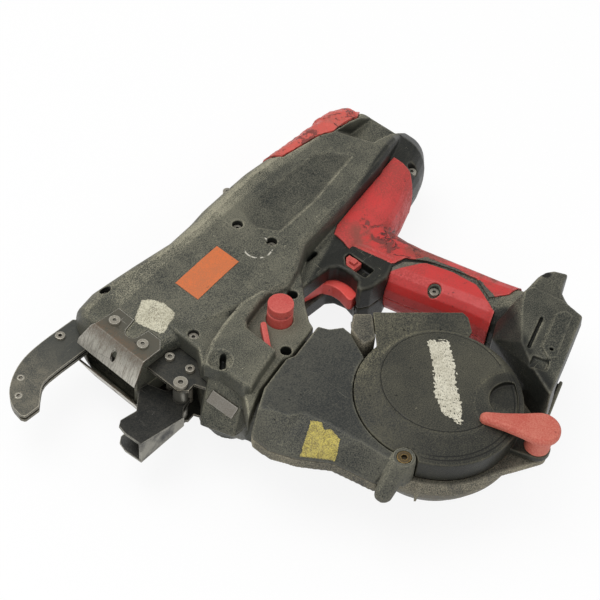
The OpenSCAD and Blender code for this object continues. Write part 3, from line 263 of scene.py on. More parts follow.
def make_scratches():
    """Fine short scratches in three directions."""
    group, given, out = new_group("scratches", [("Amount", 0.5)], ["Lines"])
    where = surface_place(group)
    lines = 0.0
    for turn, stretch in SCRATCH_SETS:
        laid = add(
            group,
            "ShaderNodeMapping",
            {"Vector": where, "Rotation": (0.3, 0.2, turn), "Scale": stretch},
        ).outputs["Vector"]
        streaks = noise(group, laid, 1.0, detail=2.0, rough=0.5)
        lines = greatest(group, ramp(group, streaks, *SCRATCH_RANGE), lines)
    runs = ramp(group, noise(group, where, 60.0, detail=3.0, rough=0.6), 0.45, 0.65)
    group.links.new(product(group, lines, runs, given["Amount"]), out["Lines"])
    return group


def make_cracks():
    """Cracks and torn spots of old rubber, wider where Wear is high."""
    group, given, out = new_group("cracks", [("Scale", 60.0), ("Wear", 0.3)], ["Cracks", "Torn"])
    where = surface_place(group)
    stir = add(group, "ShaderNodeTexNoise", {"Vector": where, "Scale": 90.0, "Detail": 4.0})
    shift = vector_calc(group, "SCALE", {0: stir.outputs["Color"], "Scale": 0.016})
    bent = vector_calc(group, "ADD", {0: where, 1: shift})
    cells = add(
        group,
        "ShaderNodeTexVoronoi",
        {"Vector": bent, "Scale": given["Scale"]},
        feature="DISTANCE_TO_EDGE",
    ).outputs["Distance"]
    line = ramp(group, cells, 0.04, 0.0)
    spread = calc(group, "SUBTRACT", 0.7, product(group, given["Wear"], 0.24))
    part = noise(group, where, 38.0, detail=4.0, rough=0.62)
    zone = ramp(group, calc(group, "SUBTRACT", part, spread), -0.04, 0.04)
    torn = noise(group, bent, 62.0, detail=6.0, rough=0.7)
    group.links.new(product(group, line, zone), out["Cracks"])
    group.links.new(ramp(group, calc(group, "SUBTRACT", torn, spread), 0.0, 0.05), out["Torn"])
    return group


SIDE_VIEW = make_side_view()
SITE_DUST = make_site_dust()
RUBBED_EDGES = make_rubbed_edges()
HOLLOWS = make_hollows()
BARE_EDGES = make_bare_edges()
SCRATCHES = make_scratches()
CRACKS = make_cracks()


def place_group(tree, group, **values):
    node = add(tree, "ShaderNodeGroup", node_tree=group)
    for label, value in values.items():
        fill_socket(tree, node.inputs[label.replace("_", " ")], value)
    return node.outputs


def new_material(name, **plain):
    """A material with one Principled shader whose even values are set on its own sockets."""
    made = bpy.data.materials.new(name)
    made.use_nodes = True
    shader = made.node_tree.nodes["Principled BSDF"]
    for label, value in plain.items():
        shader.inputs[label.replace("_", " ")].default_value = value
    return made, made.node_tree, shader.inputs


def raise_surface(tree, sockets, height, strength, depth):
    """Makes a surface bumpy after a height, this many millimetres deep."""
    bump = add(
        tree, "ShaderNodeBump", {"Height": height, "Strength": strength, "Distance": depth * MM}
    )
    tree.links.new(bump.outputs["Normal"], sockets["Normal"])


def colour(r, g, b):
    """A display colour, 0 to 255, as the linear colour that shaders use."""

    def linear(value):
        value /= 255.0
        if value <= 0.04045:
            return value / 12.92
        return ((value + 0.055) / 1.055) ** 2.4

    return (linear(r), linear(g), linear(b), 1.0)


def brightened(tint, factor):
    """A colour made this much brighter or darker."""
    return tuple(min(1.0, factor * c) for c in tint[:3]) + (1.0,)


# Masks on the side view

# Softness of a drawn line
LINE_SOFT = 0.3


def inside(tree, view, outline, soft):
    """A mask of an outline: 1 within it, with an edge this soft.

    The outline bulges everywhere, and its corners go round against the clock.
    """
    mask = 1.0
    for i, (x, y) in enumerate(outline):
        next_x, next_y = outline[(i + 1) % len(outline)]
        run = math.hypot(next_x - x, next_y - y)
        across = product(tree, calc(tree, "SUBTRACT", view["X"], x), (y - next_y) / run)
        upward = product(tree, calc(tree, "SUBTRACT", view["Y"], y), (next_x - x) / run)
        mask = product(tree, ramp(tree, calc(tree, "ADD", across, upward), -soft, soft), mask)
    return mask


def near(tree, view, centre, radius, soft):
    """A mask of a round spot."""
    across = calc(tree, "SUBTRACT", view["X"], centre[0])
    upward = calc(tree, "SUBTRACT", view["Y"], centre[1])
    squares = calc(tree, "ADD", product(tree, across, across), product(tree, upward, upward))
    return ramp(tree, calc(tree, "SQRT", squares), radius + soft, radius - soft)


def along(tree, view, path, half_width, soft):
    """A mask of a band along a path."""
    mask = 0.0
    for (x0, y0), (x1, y1) in zip(path, path[1:]):
        run = math.hypot(x1 - x0, y1 - y0)
        u = (x1 - x0) / run * half_width
        v = (y1 - y0) / run * half_width
        strip = [
            (x0 - u + v, y0 - v - u),
            (x1 + u + v, y1 + v - u),
            (x1 + u - v, y1 + v + u),
            (x0 - u - v, y0 - v + u),
        ]
        mask = greatest(tree, inside(tree, view, strip, soft), mask)
    return mask


def ring(tree, view, centre, radius, half_width):
    """A mask of a thin ring."""
    outer = near(tree, view, centre, radius + half_width, LINE_SOFT)
    inner = near(tree, view, centre, radius - half_width, LINE_SOFT)
    return calc(tree, "SUBTRACT", outer, inner)


# Wear of the housings

# Sunk side panel of the flank, darkened with painted shade, and the heights between which its mask begins
FLANK_PANEL = [(19, 161), (27, 148), (60, 151), (112, 161), (103, 175), (96, 180), (24, 178)]
FLANK_HEIGHTS = (30.0, 33.0)
# Stretch behind the trigger and along the pads, with less dust and painted shade
SHELTERED_SHADED_STRETCH = [(6, 113), (46, 84), (140, 60), (190, 168), (124, 151)]
# Hollow between the handle and the foot, and on along the foot's front, with less dust and painted shade
FOOT_HOLLOW = [(80, 16), (63, -2), (51, -22), (44, -38)]
FOOT_HOLLOW_HALF_WIDTH = 9.0
# Side of the foot, with less dust and painted shade
FOOT_SIDE = [(50, -30), (128, -40), (132, 20), (84, 26), (60, 2)]
# Screw hole in the shoulder of the foot, painted as a dark spot of shade, on the face that lies over these
# heights
FOOT_HOLE = (118, 10.5)
FOOT_HOLE_RADIUS = 3.2
FOOT_HEIGHTS = (31.0, 32.0)
# Ridge over the flank, where the most dust lies
DUSTY_RIDGE = [(-72, 185), (-39, 186), (10, 188), (60, 192), (105, 193)]
DUSTY_RIDGE_HALF_WIDTH = 5.5
# Ring that a socket has rubbed into the flank; it fades out upwards and below the outer faces
RUBBED_RING = (8.5, 148.5)
RUBBED_RING_RADIUS = 8.6
RUBBED_RING_HALF_WIDTH = 0.45
RUBBED_RING_FADE = (154.0, 151.0)
RUBBED_RING_HEIGHTS = (26.0, 30.0)


def housing_shelter_and_shade(tree, view):
    """Where little dust lies on the housings and painted shade darkens them: the sunk panel, the stretch
    behind the trigger, the hollow at the foot and the foot's side.
    """
    floor = ramp(tree, view["Z"], *FLANK_HEIGHTS)
    panel = product(tree, inside(tree, view, FLANK_PANEL, soft=0.8), floor, 0.35)
    hollow = along(tree, view, FOOT_HOLLOW, FOOT_HOLLOW_HALF_WIDTH, soft=5.0)
    stretch = inside(tree, view, SHELTERED_SHADED_STRETCH, soft=2.0)
    foot = product(tree, inside(tree, view, FOOT_SIDE, soft=3.0), 0.35)
    return greatest(tree, panel, hollow, stretch, foot)


def ridge_dust(tree, view):
    return along(tree, view, DUSTY_RIDGE, DUSTY_RIDGE_HALF_WIDTH, soft=2.5)


def housing_marks(tree, view):
    """Bits of a pale ring rubbed into the flank."""
    spots = noise(tree, surface_place(tree), 330.0, detail=3.0, rough=0.6)
    broken = ramp(tree, spots, 0.47, 0.55)
    front = ramp(tree, view["Z"], *RUBBED_RING_HEIGHTS)
    lower = ramp(tree, view["Y"], *RUBBED_RING_FADE)
    mark = ring(tree, view, RUBBED_RING, RUBBED_RING_RADIUS, RUBBED_RING_HALF_WIDTH)
    return product(tree, mark, broken, front, lower)


def foot_hole_shade(tree, view):
    """Painted shade of a screw hole in the shoulder of the foot: a dark spot laid on the solid."""
    hole = near(tree, view, FOOT_HOLE, FOOT_HOLE_RADIUS, soft=0.4)
    return product(tree, hole, ramp(tree, view["Z"], *FOOT_HEIGHTS))


# Wear of the magazine's cover

# Axis of the spool, which is the middle of the cover's rim
SPOOL_AXIS = (0, 0)
# Centre and radius of the edge of the dome
DOME_CENTRE = (8, 3.5)
DOME_RADIUS = 36
# Thumb hollow: the dome's line ends at its outer radius, and within the inner one there is less dust and
# painted shade
THUMB_HOLLOW = (30, -27)
THUMB_HOLLOW_RADIUS = 17.0
THUMB_SHADE_RADIUS = 13.0
# Radii of two grooves in the lower rim, and where they fade in
RIM_GROOVES = (43.2, 45.6)
RIM_FADE = (-16.0, -26.0)
# Heights over which the lower slope takes on less dust and painted shade, and where the flat wing over the
# dome begins
SLOPE_FADE = (10.0, -15.0)
WING_FADE = (34.0, 44.0)


def wing_dust(tree, view):
    """The flat wing of the cover, over its dome."""
    return product(tree, ramp(tree, view["Y"], *WING_FADE), 0.7)


def cover_lines(tree, view):
    """Joint line round the dome, up to the thumb hollow, and the grooves in the lower rim."""
    outside = opposite(tree, near(tree, view, THUMB_HOLLOW, THUMB_HOLLOW_RADIUS, soft=0.5))
    dome = product(tree, ring(tree, view, DOME_CENTRE, DOME_RADIUS, half_width=0.3), outside)
    rings = [ring(tree, view, SPOOL_AXIS, radius, half_width=0.35) for radius in RIM_GROOVES]
    grooves = product(tree, chain(tree, "ADD", rings), ramp(tree, view["Y"], *RIM_FADE))
    return greatest(tree, dome, grooves)


def cover_shelter_and_shade(tree, view):
    """The thumb hollow and the lower slope of the cover, with less dust and painted shade."""
    outside = opposite(tree, near(tree, view, DOME_CENTRE, DOME_RADIUS + 3.0, soft=3.0))
    slope = product(tree, outside, ramp(tree, view["Y"], *SLOPE_FADE), 0.45)
    less_dust_darker = product(tree, near(tree, view, THUMB_HOLLOW, THUMB_SHADE_RADIUS, soft=4.0), 0.7)
    return greatest(tree, less_dust_darker, slope)


# Wear of the handle's rubber

# Web between pod and handle, where the rubber has gone hard and cracked
CRACKED_WEB = (88, 105)
CRACKED_WEB_RADIUS = 17.0
# Web and back of the handle, where the skin of the rubber has gone brown
WORN_BACK = [(74, 118), (88, 106), (92, 92), (99, 66), (104, 34)]
WORN_BACK_HALF_WIDTH = 8.0
# Band between the grip panel and the rear pad, on the outer faces, where plastic shows
GRIP_BAND = [(66.4, 91), (75.6, 85), (88, 77.5), (93.9, 59.1), (95.5, 42), (91.2, 30.1), (85.7, 20.5)]
GRIP_BAND_HALF_WIDTH = 2.4
GRIP_BAND_HEIGHTS = (9.0, 11.0)


def grip_band(tree, view):
    band = along(tree, view, GRIP_BAND, GRIP_BAND_HALF_WIDTH, soft=0.4)
    return product(tree, band, ramp(tree, view["Z"], *GRIP_BAND_HEIGHTS))


# Wear of the nose and the guides

# Heights between which the bars rub the bent front of a nose plate
RUBBED_FRONT_HEIGHTS = (25.0, 13.0)
# From the plain side of a nose plate to its fold, and from the curl guide's root to its tip
FOLD_FADE = (-88.0, -96.5)
TIP_FADE = (-108.0, -138.0)
# Stretch of the streaks that the bars leave
STREAK_STRETCH = (150, 1100, 150)


def sloped_front(tree, view):
    """The bent front of a nose plate, which the bars have rubbed bare."""
    turned = ramp(tree, view["Forward"], 0.25, 0.5)
    lower = ramp(tree, view["Z"], *RUBBED_FRONT_HEIGHTS, to_low=0.3)
    stretched = add(
        tree, "ShaderNodeMapping", {"Vector": surface_place(tree), "Scale": STREAK_STRETCH}
    ).outputs["Vector"]
    streaks = noise(tree, stretched, 1.0, detail=4.0, rough=0.65)
    return product(tree, turned, lower, ramp(tree, streaks, 0.3, 0.6, to_low=0.45))


def fold_rust(tree, view):
    """Rust of a nose plate, most of it along the fold and round the screws."""
    return ramp(tree, view["X"], *FOLD_FADE, to_low=0.2)


def tip_dust(tree, view):
    """Dust on the curl guide, less towards its root."""
    return ramp(tree, view["X"], *TIP_FADE, to_low=0.2)


def funnel_floor(tree, view):
    """The floor and the lips of the lower guide, where the wire runs."""
    level = ramp(tree, view["Flat"], 0.7, 0.3)
    rubs = noise(tree, surface_place(tree), 90.0, detail=4.0, rough=0.6)
    return product(tree, level, ramp(tree, rubs, 0.3, 0.6), 0.75)


# Finishes

RUB_MARK = colour(206, 202, 188)
# Plastic between the two rubbers of the handle
BAND_DARK = colour(44, 44, 42)
BAND_DUSTY = colour(104, 98, 84)
# Rubber that has lost its skin, is rubbed pale, specked, torn or cracked, and the painted shade in its
# hollows
RUBBER_BROWN = colour(122, 66, 54)
RUBBER_PALE = colour(222, 126, 116)
RUBBER_SPECK = colour(70, 30, 28)
RUBBER_TORN = colour(104, 52, 46)
RUBBER_CRACK = colour(40, 18, 16)
RUBBER_HOLLOW_SHADE = colour(44, 18, 16)
# Dirt on metal and on labels, and the painted shade in the hollows of metal
METAL_SPECK = colour(44, 38, 32)
METAL_HOLLOW_SHADE = colour(16, 16, 16)
DIRTY_BROWN = colour(96, 84, 66)
LABEL_DUST = colour(120, 112, 88)
LABEL_SPECK = colour(52, 48, 40)


def dusty_plastic(
    name, clean, dusty, dust_level, shelter_and_shade=None, gathers=None, marks=None, lines=None,
    grain=0.4, walls=0.5, flats=0.8,
):
    """Grained plastic under site dust, rubbed pale on its edges, darkened with painted shade in its
    hollows.

    Shelter, gathers, marks and lines are masks on the side view: where less dust lies and painted shade
    darkens the plastic, where more dust lies, where pale rub marks are, and where dark joint lines and the
    painted shade of a hole are. Walls and flats are the dust's shares on steep and on level faces.
    """
    made, tree, sockets = new_material(name, Specular_IOR_Level=0.2)
    view = place_group(tree, SIDE_VIEW)
    dust = place_group(tree, SITE_DUST)
    edges = place_group(tree, RUBBED_EDGES)["Edge"]
    hollow = place_group(tree, HOLLOWS)["Depth"]
    scratched = place_group(tree, SCRATCHES, Amount=0.9)["Lines"]
    pale = brightened(dusty, 1.5)
    black = brightened(clean, 0.25)

    # Painted light and shade: faces turned to the tool's top get more dust and are painted lighter, faces
    # turned down or forward get less and are painted darker
    settled_and_lit = ramp(tree, view["Upward"], 0.0, 0.3, to_low=0.9, to_high=1.7)
    steep = ramp(tree, view["Flat"], 0.25, 0.8, to_low=walls)
    less_dust_darker = ramp(tree, view["Flat"], 0.9, 0.995, to_low=1.0, to_high=flats)
    front_shade = ramp(tree, view["Forward"], 0.3, 0.7, to_low=1.0, to_high=0.75)
    film = product(tree, dust["Film"], dust_level, steep, less_dust_darker, settled_and_lit, front_shade)
    film = product(tree, film, between(tree, hollow, 1.0, 0.15))
    if gathers:
        film = product(tree, film, between(tree, gathers(tree, view), 1.0, 1.9))
    if shelter_and_shade:
        sheltered_and_shaded = shelter_and_shade(tree, view)
        film = product(tree, film, between(tree, sheltered_and_shaded, 1.0, 0.1))
        # Painted shade: where this mask lies, the clean plastic is darkened towards black
        clean = lay_over(tree, clean, (sheltered_and_shaded, 0.8, black))

    base = lay_over(
        tree,
        blend_colours(tree, film, clean, dusty),
        (edges, 0.22, pale),
        (scratched, 0.35, pale),
        (product(tree, dust["Flecks"], film), 1.5, pale),
        (dust["Specks"], 0.75, black),
        # Painted shade in the hollows of the piece
        (hollow, 0.8, black),
    )
    if marks:
        base = lay_over(tree, base, (marks(tree, view), 0.85, RUB_MARK))
    if lines:
        base = lay_over(tree, base, (lines(tree, view), 0.9, black))
    tree.links.new(base, sockets["Base Color"])
    tree.links.new(ramp(tree, film, 0.0, 0.5, to_low=0.36, to_high=0.8), sockets["Roughness"])
    raise_surface(tree, sockets, dust["Grain"], grain, depth=0.4)
    return made


def worn_rubber(name, clean, grime, wear, spot=None):
    """Red rubber, dirty in patches, cracked and torn, most of all round one spot."""
    made, tree, sockets = new_material(name, Specular_IOR_Level=0.45)
    view = place_group(tree, SIDE_VIEW)
    dust = place_group(tree, SITE_DUST, Patch_scale=26.0, Grain_scale=900.0)
    edges = place_group(tree, RUBBED_EDGES, Reach=0.05)["Edge"]
    hollow = place_group(tree, HOLLOWS, Reach=0.004)["Depth"]
    if spot:
        round_spot = near(tree, view, spot, CRACKED_WEB_RADIUS, soft=12.0)
        wear = calc(tree, "ADD", product(tree, round_spot, 0.85), wear)
    broken = place_group(tree, CRACKS, Wear=wear)

    soil = product(tree, dust["Film"], between(tree, dust["Patches"], 0.3, 1.0))
    worn_back = along(tree, view, WORN_BACK, WORN_BACK_HALF_WIDTH, soft=5.0)
    skinned = product(tree, worn_back, ramp(tree, dust["Patches"], 0.2, 0.7))
    base = lay_over(
        tree,
        blend_colours(tree, soil, clean, grime),
        (skinned, 0.75, RUBBER_BROWN),
        (edges, 0.35, RUBBER_PALE),
        (dust["Specks"], 0.6, RUBBER_SPECK),
        (broken["Torn"], 0.85, RUBBER_TORN),
        (broken["Cracks"], 0.9, RUBBER_CRACK),
        # Painted shade in the hollows of the rubber
        (hollow, 0.8, RUBBER_HOLLOW_SHADE),
    )
    plastic = blend_colours(tree, dust["Film"], BAND_DARK, BAND_DUSTY)
    base = blend_colours(tree, grip_band(tree, view), base, plastic)
    tree.links.new(base, sockets["Base Color"])
    tree.links.new(ramp(tree, soil, 0.0, 0.8, to_low=0.4, to_high=0.66), sockets["Roughness"])
    dents = calc(tree, "ADD", broken["Cracks"], broken["Torn"])
    height = calc(tree, "SUBTRACT", product(tree, dust["Grain"], 0.2), dents)
    raise_surface(tree, sockets, height, 0.6, depth=0.7)
    return made


def faded_plastic(name, clean, faded, dirt, rough):
    """Coloured plastic of the controls, faded and dulled by handling, with painted shade in its hollows.
    """
    made, tree, sockets = new_material(name, Specular_IOR_Level=0.45)
    dust = place_group(tree, SITE_DUST, Patch_scale=48.0, Grain_scale=1100.0)
    edges = place_group(tree, RUBBED_EDGES, Reach=0.05)["Edge"]
    hollow = place_group(tree, HOLLOWS, Reach=0.005)["Depth"]
    scratched = place_group(tree, SCRATCHES, Amount=0.9)["Lines"]
    base = lay_over(
        tree,
        blend_colours(tree, dust["Film"], clean, faded),
        (edges, 0.45, brightened(faded, 1.35)),
        (scratched, 0.45, dirt),
        (dust["Specks"], 0.5, dirt),
        # Painted shade: the dirt colour is laid in the hollows as shade
        (hollow, 0.85, dirt),
    )
    dulled = rough + 0.22
    tree.links.new(base, sockets["Base Color"])
    tree.links.new(between(tree, dust["Film"], rough, dulled), sockets["Roughness"])
    raise_surface(tree, sockets, dust["Grain"], 0.12, depth=0.2)
    return made


def worn_steel(name, coat, bare, coat_metal, dirt, dirt_level, rubbed=None, soiled=None):
    """Steel whose coat or patina has gone from the edges, scratched, with dirt or rust on it and painted
    shade in its hollows.

    Rubbed and soiled are masks on the side view: where it is rubbed bare and where dirt stays.
    """
    made, tree, sockets = new_material(name)
    view = place_group(tree, SIDE_VIEW)
    dust = place_group(tree, SITE_DUST, Patch_scale=110.0, Grain_scale=1500.0)
    edges = place_group(tree, BARE_EDGES)["Edge"]
    hollow = place_group(tree, HOLLOWS, Reach=0.006)["Depth"]
    scratched = place_group(tree, SCRATCHES, Amount=0.8)["Lines"]
    shown = greatest(tree, edges, product(tree, scratched, 0.5))
    if rubbed:
        shown = greatest(tree, shown, rubbed(tree, view))
    soil = product(tree, dust["Film"], dirt_level, between(tree, shown, 1.0, 0.25))
    if soiled:
        soil = product(tree, soil, soiled(tree, view))

    base = blend_colours(tree, shown, coat, bare)
    base = blend_colours(tree, soil, base, dirt)
    # Painted shade in the hollows of the metal
    base = lay_over(tree, base, (dust["Specks"], 0.25, METAL_SPECK), (hollow, 0.8, METAL_HOLLOW_SHADE))
    metal = product(tree, between(tree, shown, coat_metal, 0.9), between(tree, soil, 1.0, 0.2))
    grained = ramp(tree, dust["Grain"], 0.6, 1.4, to_low=0.36, to_high=0.56)
    tree.links.new(base, sockets["Base Color"])
    tree.links.new(metal, sockets["Metallic"])
    tree.links.new(calc(tree, "ADD", grained, product(tree, soil, 0.25)), sockets["Roughness"])
    raise_surface(tree, sockets, dust["Grain"], 0.18, depth=0.3)
    return made


def old_label(name, paper, mottle, mottle_share):
    """A worn label: paper with a plain darker mottle, and dirt."""
    made, tree, sockets = new_material(name, Roughness=0.7, Specular_IOR_Level=0.3)
    dust = place_group(tree, SITE_DUST, Patch_scale=95.0, Grain_scale=800.0)
    spots = noise(tree, surface_place(tree), 1500.0, detail=3.0, rough=0.6)
    worn = noise(tree, surface_place(tree), 260.0, detail=4.0, rough=0.6)
    spread = 0.16 * mottle_share
    mottled = ramp(tree, mixed(tree, spots, worn, share=0.3), 0.56 - spread, 0.7 - spread)
    base = lay_over(
        tree,
        paper,
        (mottled, 0.7, mottle),
        (dust["Film"], 0.4, LABEL_DUST),
        (dust["Specks"], 0.5, LABEL_SPECK),
    )
    tree.links.new(base, sockets["Base Color"])
    raise_surface(tree, sockets, dust["Grain"], 0.2, depth=0.2)
    return made


HOUSING = dusty_plastic(
    "housing_plastic",
    clean=colour(44, 47, 44),
    dusty=colour(154, 150, 130),
    dust_level=0.66,
    shelter_and_shade=housing_shelter_and_shade,
    gathers=ridge_dust,
    marks=housing_marks,
    # Painted shade of a screw hole in the foot
    lines=foot_hole_shade,
)
MAGAZINE = dusty_plastic(
    "magazine_plastic",
    clean=colour(46, 48, 47),
    dusty=colour(136, 133, 116),
    dust_level=0.62,
    walls=1.0,
    flats=0.42,
)
MAGAZINE_SHELL = dusty_plastic(
    "shell_plastic",
    clean=colour(48, 49, 46),
    dusty=colour(150, 143, 124),
    dust_level=0.6,
    walls=2.2,
)
COVER = dusty_plastic(
    "cover_plastic",
    clean=colour(44, 45, 42),
    dusty=colour(122, 118, 98),
    dust_level=0.55,
    shelter_and_shade=cover_shelter_and_shade,
    gathers=wing_dust,
    lines=cover_lines,
)
BLACK_PLASTIC = dusty_plastic(
    "black_plastic",
    clean=colour(24, 24, 25),
    dusty=colour(64, 63, 58),
    dust_level=0.3,
    grain=0.3,
)
PAD_RUBBER = worn_rubber(
    "pad_rubber",
    clean=colour(196, 52, 50),
    grime=colour(158, 58, 52),
    wear=0.15,
    spot=CRACKED_WEB,
)
GRIP_RUBBER = worn_rubber(
    "grip_rubber",
    clean=colour(194, 48, 46),
    grime=colour(166, 54, 50),
    wear=0.05,
)
BUMPER_RUBBER = worn_rubber(
    "bumper_rubber",
    clean=colour(204, 84, 74),
    grime=colour(162, 92, 80),
    wear=0.6,
)
CONTROL_RED = faded_plastic(
    "control_red",
    clean=colour(182, 66, 60),
    faded=colour(194, 92, 82),
    dirt=colour(96, 36, 32),
    rough=0.4,
)
LATCH_RED = faded_plastic(
    "latch_red",
    clean=colour(178, 76, 62),
    faded=colour(194, 112, 94),
    dirt=colour(110, 44, 36),
    rough=0.45,
)
# Painted light: the trigger's red is painted brighter than its plastic, to make up for the shade it lies
# in
LIT_TRIGGER_RED = faded_plastic(
    "lit_trigger_red",
    clean=colour(244, 82, 74),
    faded=colour(244, 104, 96),
    dirt=colour(130, 34, 32),
    rough=0.3,
)
ORANGE = faded_plastic(
    "orange_plate",
    clean=colour(206, 104, 46),
    faded=colour(182, 104, 62),
    dirt=colour(120, 72, 44),
    rough=0.45,
)
BOARD = faded_plastic(
    "board_green",
    clean=colour(20, 70, 40),
    faded=colour(24, 84, 48),
    dirt=colour(14, 40, 24),
    rough=0.4,
)
BLACK_STEEL = worn_steel(
    "black_steel",
    coat=colour(38, 40, 38),
    bare=colour(178, 170, 152),
    coat_metal=0.35,
    dirt=colour(104, 98, 82),
    dirt_level=0.25,
)
CURL_STEEL = worn_steel(
    "curl_steel",
    coat=colour(60, 62, 58),
    bare=colour(178, 172, 156),
    coat_metal=0.3,
    dirt=colour(134, 127, 108),
    dirt_level=0.6,
    soiled=tip_dust,
)
GUIDE_STEEL = worn_steel(
    "guide_steel",
    coat=colour(30, 32, 31),
    bare=colour(160, 157, 146),
    coat_metal=0.4,
    dirt=colour(92, 88, 78),
    dirt_level=0.3,
    rubbed=funnel_floor,
)
NOSE_STEEL = worn_steel(
    "nose_steel",
    coat=colour(82, 81, 71),
    bare=colour(206, 203, 192),
    coat_metal=0.4,
    dirt=colour(104, 80, 58),
    dirt_level=0.7,
    rubbed=sloped_front,
    soiled=fold_rust,
)
BARE_STEEL = worn_steel(
    "bare_steel",
    coat=colour(150, 146, 138),
    bare=colour(196, 193, 186),
    coat_metal=0.9,
    dirt=DIRTY_BROWN,
    dirt_level=0.4,
)
SCREW_STEEL = worn_steel(
    "screw_steel",
    coat=colour(150, 146, 134),
    bare=colour(190, 186, 174),
    coat_metal=0.4,
    dirt=DIRTY_BROWN,
    dirt_level=0.5,
)
BRASS = worn_steel(
    "dull_brass",
    coat=colour(92, 76, 46),
    bare=colour(164, 136, 84),
    coat_metal=0.7,
    dirt=colour(66, 54, 36),
    dirt_level=0.8,
)
YELLOW_LABEL = old_label("yellow_label", colour(196, 180, 92), colour(88, 76, 48), mottle_share=0.75)
PALE_LABEL = old_label("pale_label", colour(204, 200, 178), colour(70, 64, 54), mottle_share=0.5)
RESIDUE = old_label("label_residue", colour(212, 208, 190), colour(150, 144, 124), mottle_share=0.4)

FINISHES = {
    HOUSING: ["left_housing", "right_housing"],
    MAGAZINE: ["magazine_front"],
    MAGAZINE_SHELL: ["magazine_shell"],
    COVER: ["magazine_cover"],
    PAD_RUBBER: ["left_rear_pad", "right_rear_pad"],
    GRIP_RUBBER: ["left_grip_panel", "right_grip_panel"],
    BUMPER_RUBBER: ["top_bumper"],
    CONTROL_RED: ["release_button", "lock_lever", "trigger_lock", "power_button"],
    LATCH_RED: ["cover_latch"],
    LIT_TRIGGER_RED: ["trigger"],
    BLACK_STEEL: ["chassis", "gearbox"],
    CURL_STEEL: ["curl_left", "curl_core_plate", "curl_right"],
    GUIDE_STEEL: ["lower_guide"],
    NOSE_STEEL: ["left_wear_plate", "right_wear_plate"],
    BARE_STEEL: ["feed_nose_cover", "twist_shaft", "feed_gear", "idler_gear", "twist_motor", "feed_motor"],
    SCREW_STEEL: [
        "wear_screws", "curl_screws", "chassis_bolts", "guide_pin", "idler_pin", "lock_lever_pin",
        "trigger_pin", "hinge_pin", "latch_pin", "housing_screws",
    ],
    BRASS: ["boss_screw", "terminal_blades"],
    ORANGE: ["blank_plate"],
    BLACK_PLASTIC: ["trigger_switch", "terminal_block", "torque_dial", "spool", "spindle"],
    BOARD: ["control_board"],
}

for finish, names in FINISHES.items():
    for name in names:
        nodes[name].data.materials.clear()
        nodes[name].data.materials.append(finish)


# Rounding of the solids

# Voxel size in millimetres and smoothing passes of the mouldings
MOULDED = {
    "left_housing": (0.65, 6),
    "right_housing": (0.8, 6),
    "magazine_shell": (0.8, 5),
    "magazine_front": (0.7, 5),
    "magazine_cover": (0.45, 4),
    "top_bumper": (0.6, 8),
    "left_rear_pad": (0.5, 6),
    "right_rear_pad": (0.5, 6),
    "left_grip_panel": (0.5, 6),
    "right_grip_panel": (0.5, 6),
    "release_button": (0.35, 6),
    "cover_latch": (0.45, 12),
    "trigger": (0.4, 10),
    "trigger_lock": (0.25, 5),
    "lock_lever": (0.3, 8),
    "feed_nose_cover": (0.3, 5),
    "blank_plate": (0.25, 2),
}
# Width of the broken edges of the metal and inner pieces, in millimetres
EDGED = {
    0.15: ["feed_gear", "idler_gear"],
    0.2: ["control_board", "terminal_blades"],
    0.3: [
        "chassis", "curl_core_plate", "curl_screws", "wear_screws", "idler_pin", "lock_lever_pin",
        "trigger_pin", "latch_pin", "boss_screw", "housing_screws", "lower_guide",
        "left_wear_plate", "right_wear_plate",
    ],
    0.4: [
        "chassis_bolts", "guide_pin", "trigger_switch", "terminal_block", "hinge_pin", "spool",
    ],
    0.5: ["curl_left", "curl_right", "twist_shaft", "power_button", "torque_dial", "spindle"],
    0.7: ["twist_motor", "gearbox", "feed_motor"],
}
# Corners closer than this are one, in millimetres; edges that turn more than this are broken
SAME_CORNER = 0.01
EDGE_ANGLE = math.radians(32)
# Size of the lumps of the torn bumper, and how deep they go, in millimetres
BUMPER_LUMP = 5.0
BUMPER_LOSS = 1.6


def mould(name, voxel, passes):
    """Rounds a moulded piece all over, as its tool would."""
    skin = nodes[name].modifiers.new("moulded_skin", "REMESH")
    skin.mode = "VOXEL"
    skin.voxel_size = voxel * MM
    skin.use_smooth_shade = True
    rounding = nodes[name].modifiers.new("rounding", "SMOOTH")
    rounding.factor = 0.5
    rounding.iterations = passes


def tear_skin(name, lump, loss):
    """Makes a piece lumpy, inwards only."""
    lumps = bpy.data.textures.new("lumps", "CLOUDS")
    lumps.noise_scale = lump * MM
    torn = nodes[name].modifiers.new("torn_skin", "DISPLACE")
    torn.texture = lumps
    torn.strength = loss * MM
    torn.mid_level = 1.0


def break_edges(name, width):
    """Takes the sharpness off a cut or turned piece."""
    joined = nodes[name].modifiers.new("joined", "WELD")
    joined.merge_threshold = SAME_CORNER * MM
    edge = nodes[name].modifiers.new("broken_edge", "BEVEL")
    edge.width = width * MM
    edge.segments = 2
    edge.limit_method = "ANGLE"
    edge.angle_limit = EDGE_ANGLE
    even = nodes[name].modifiers.new("even_faces", "WEIGHTED_NORMAL")
    even.keep_sharp = True
    for face in nodes[name].data.polygons:
        face.use_smooth = True


for name, (voxel, passes) in MOULDED.items():
    mould(name, voxel, passes)

tear_skin("top_bumper", BUMPER_LUMP, BUMPER_LOSS)

for width, names in EDGED.items():
    for name in names:
        break_edges(name, width)


# Labels laid on the solids

# How far a label stands off the solid, in millimetres
LABEL_RISE = 0.12
# Waves of a label's edge to the millimetre
EDGE_WAVES = 0.6
# Layers of the noise that the edge and the scraps follow, and the detail of the scraps
EDGE_LAYER = 7.0
SCRAP_LAYER = 3.0
SCRAP_DETAIL = 4
# Seed of the noise that a label's edge follows, so that each run gives the same edge
LABEL_SEED = 7
# A ray to the solids starts this high, in metres
RAY_START = 1.0
DOWN = Vector((0, 0, -1))

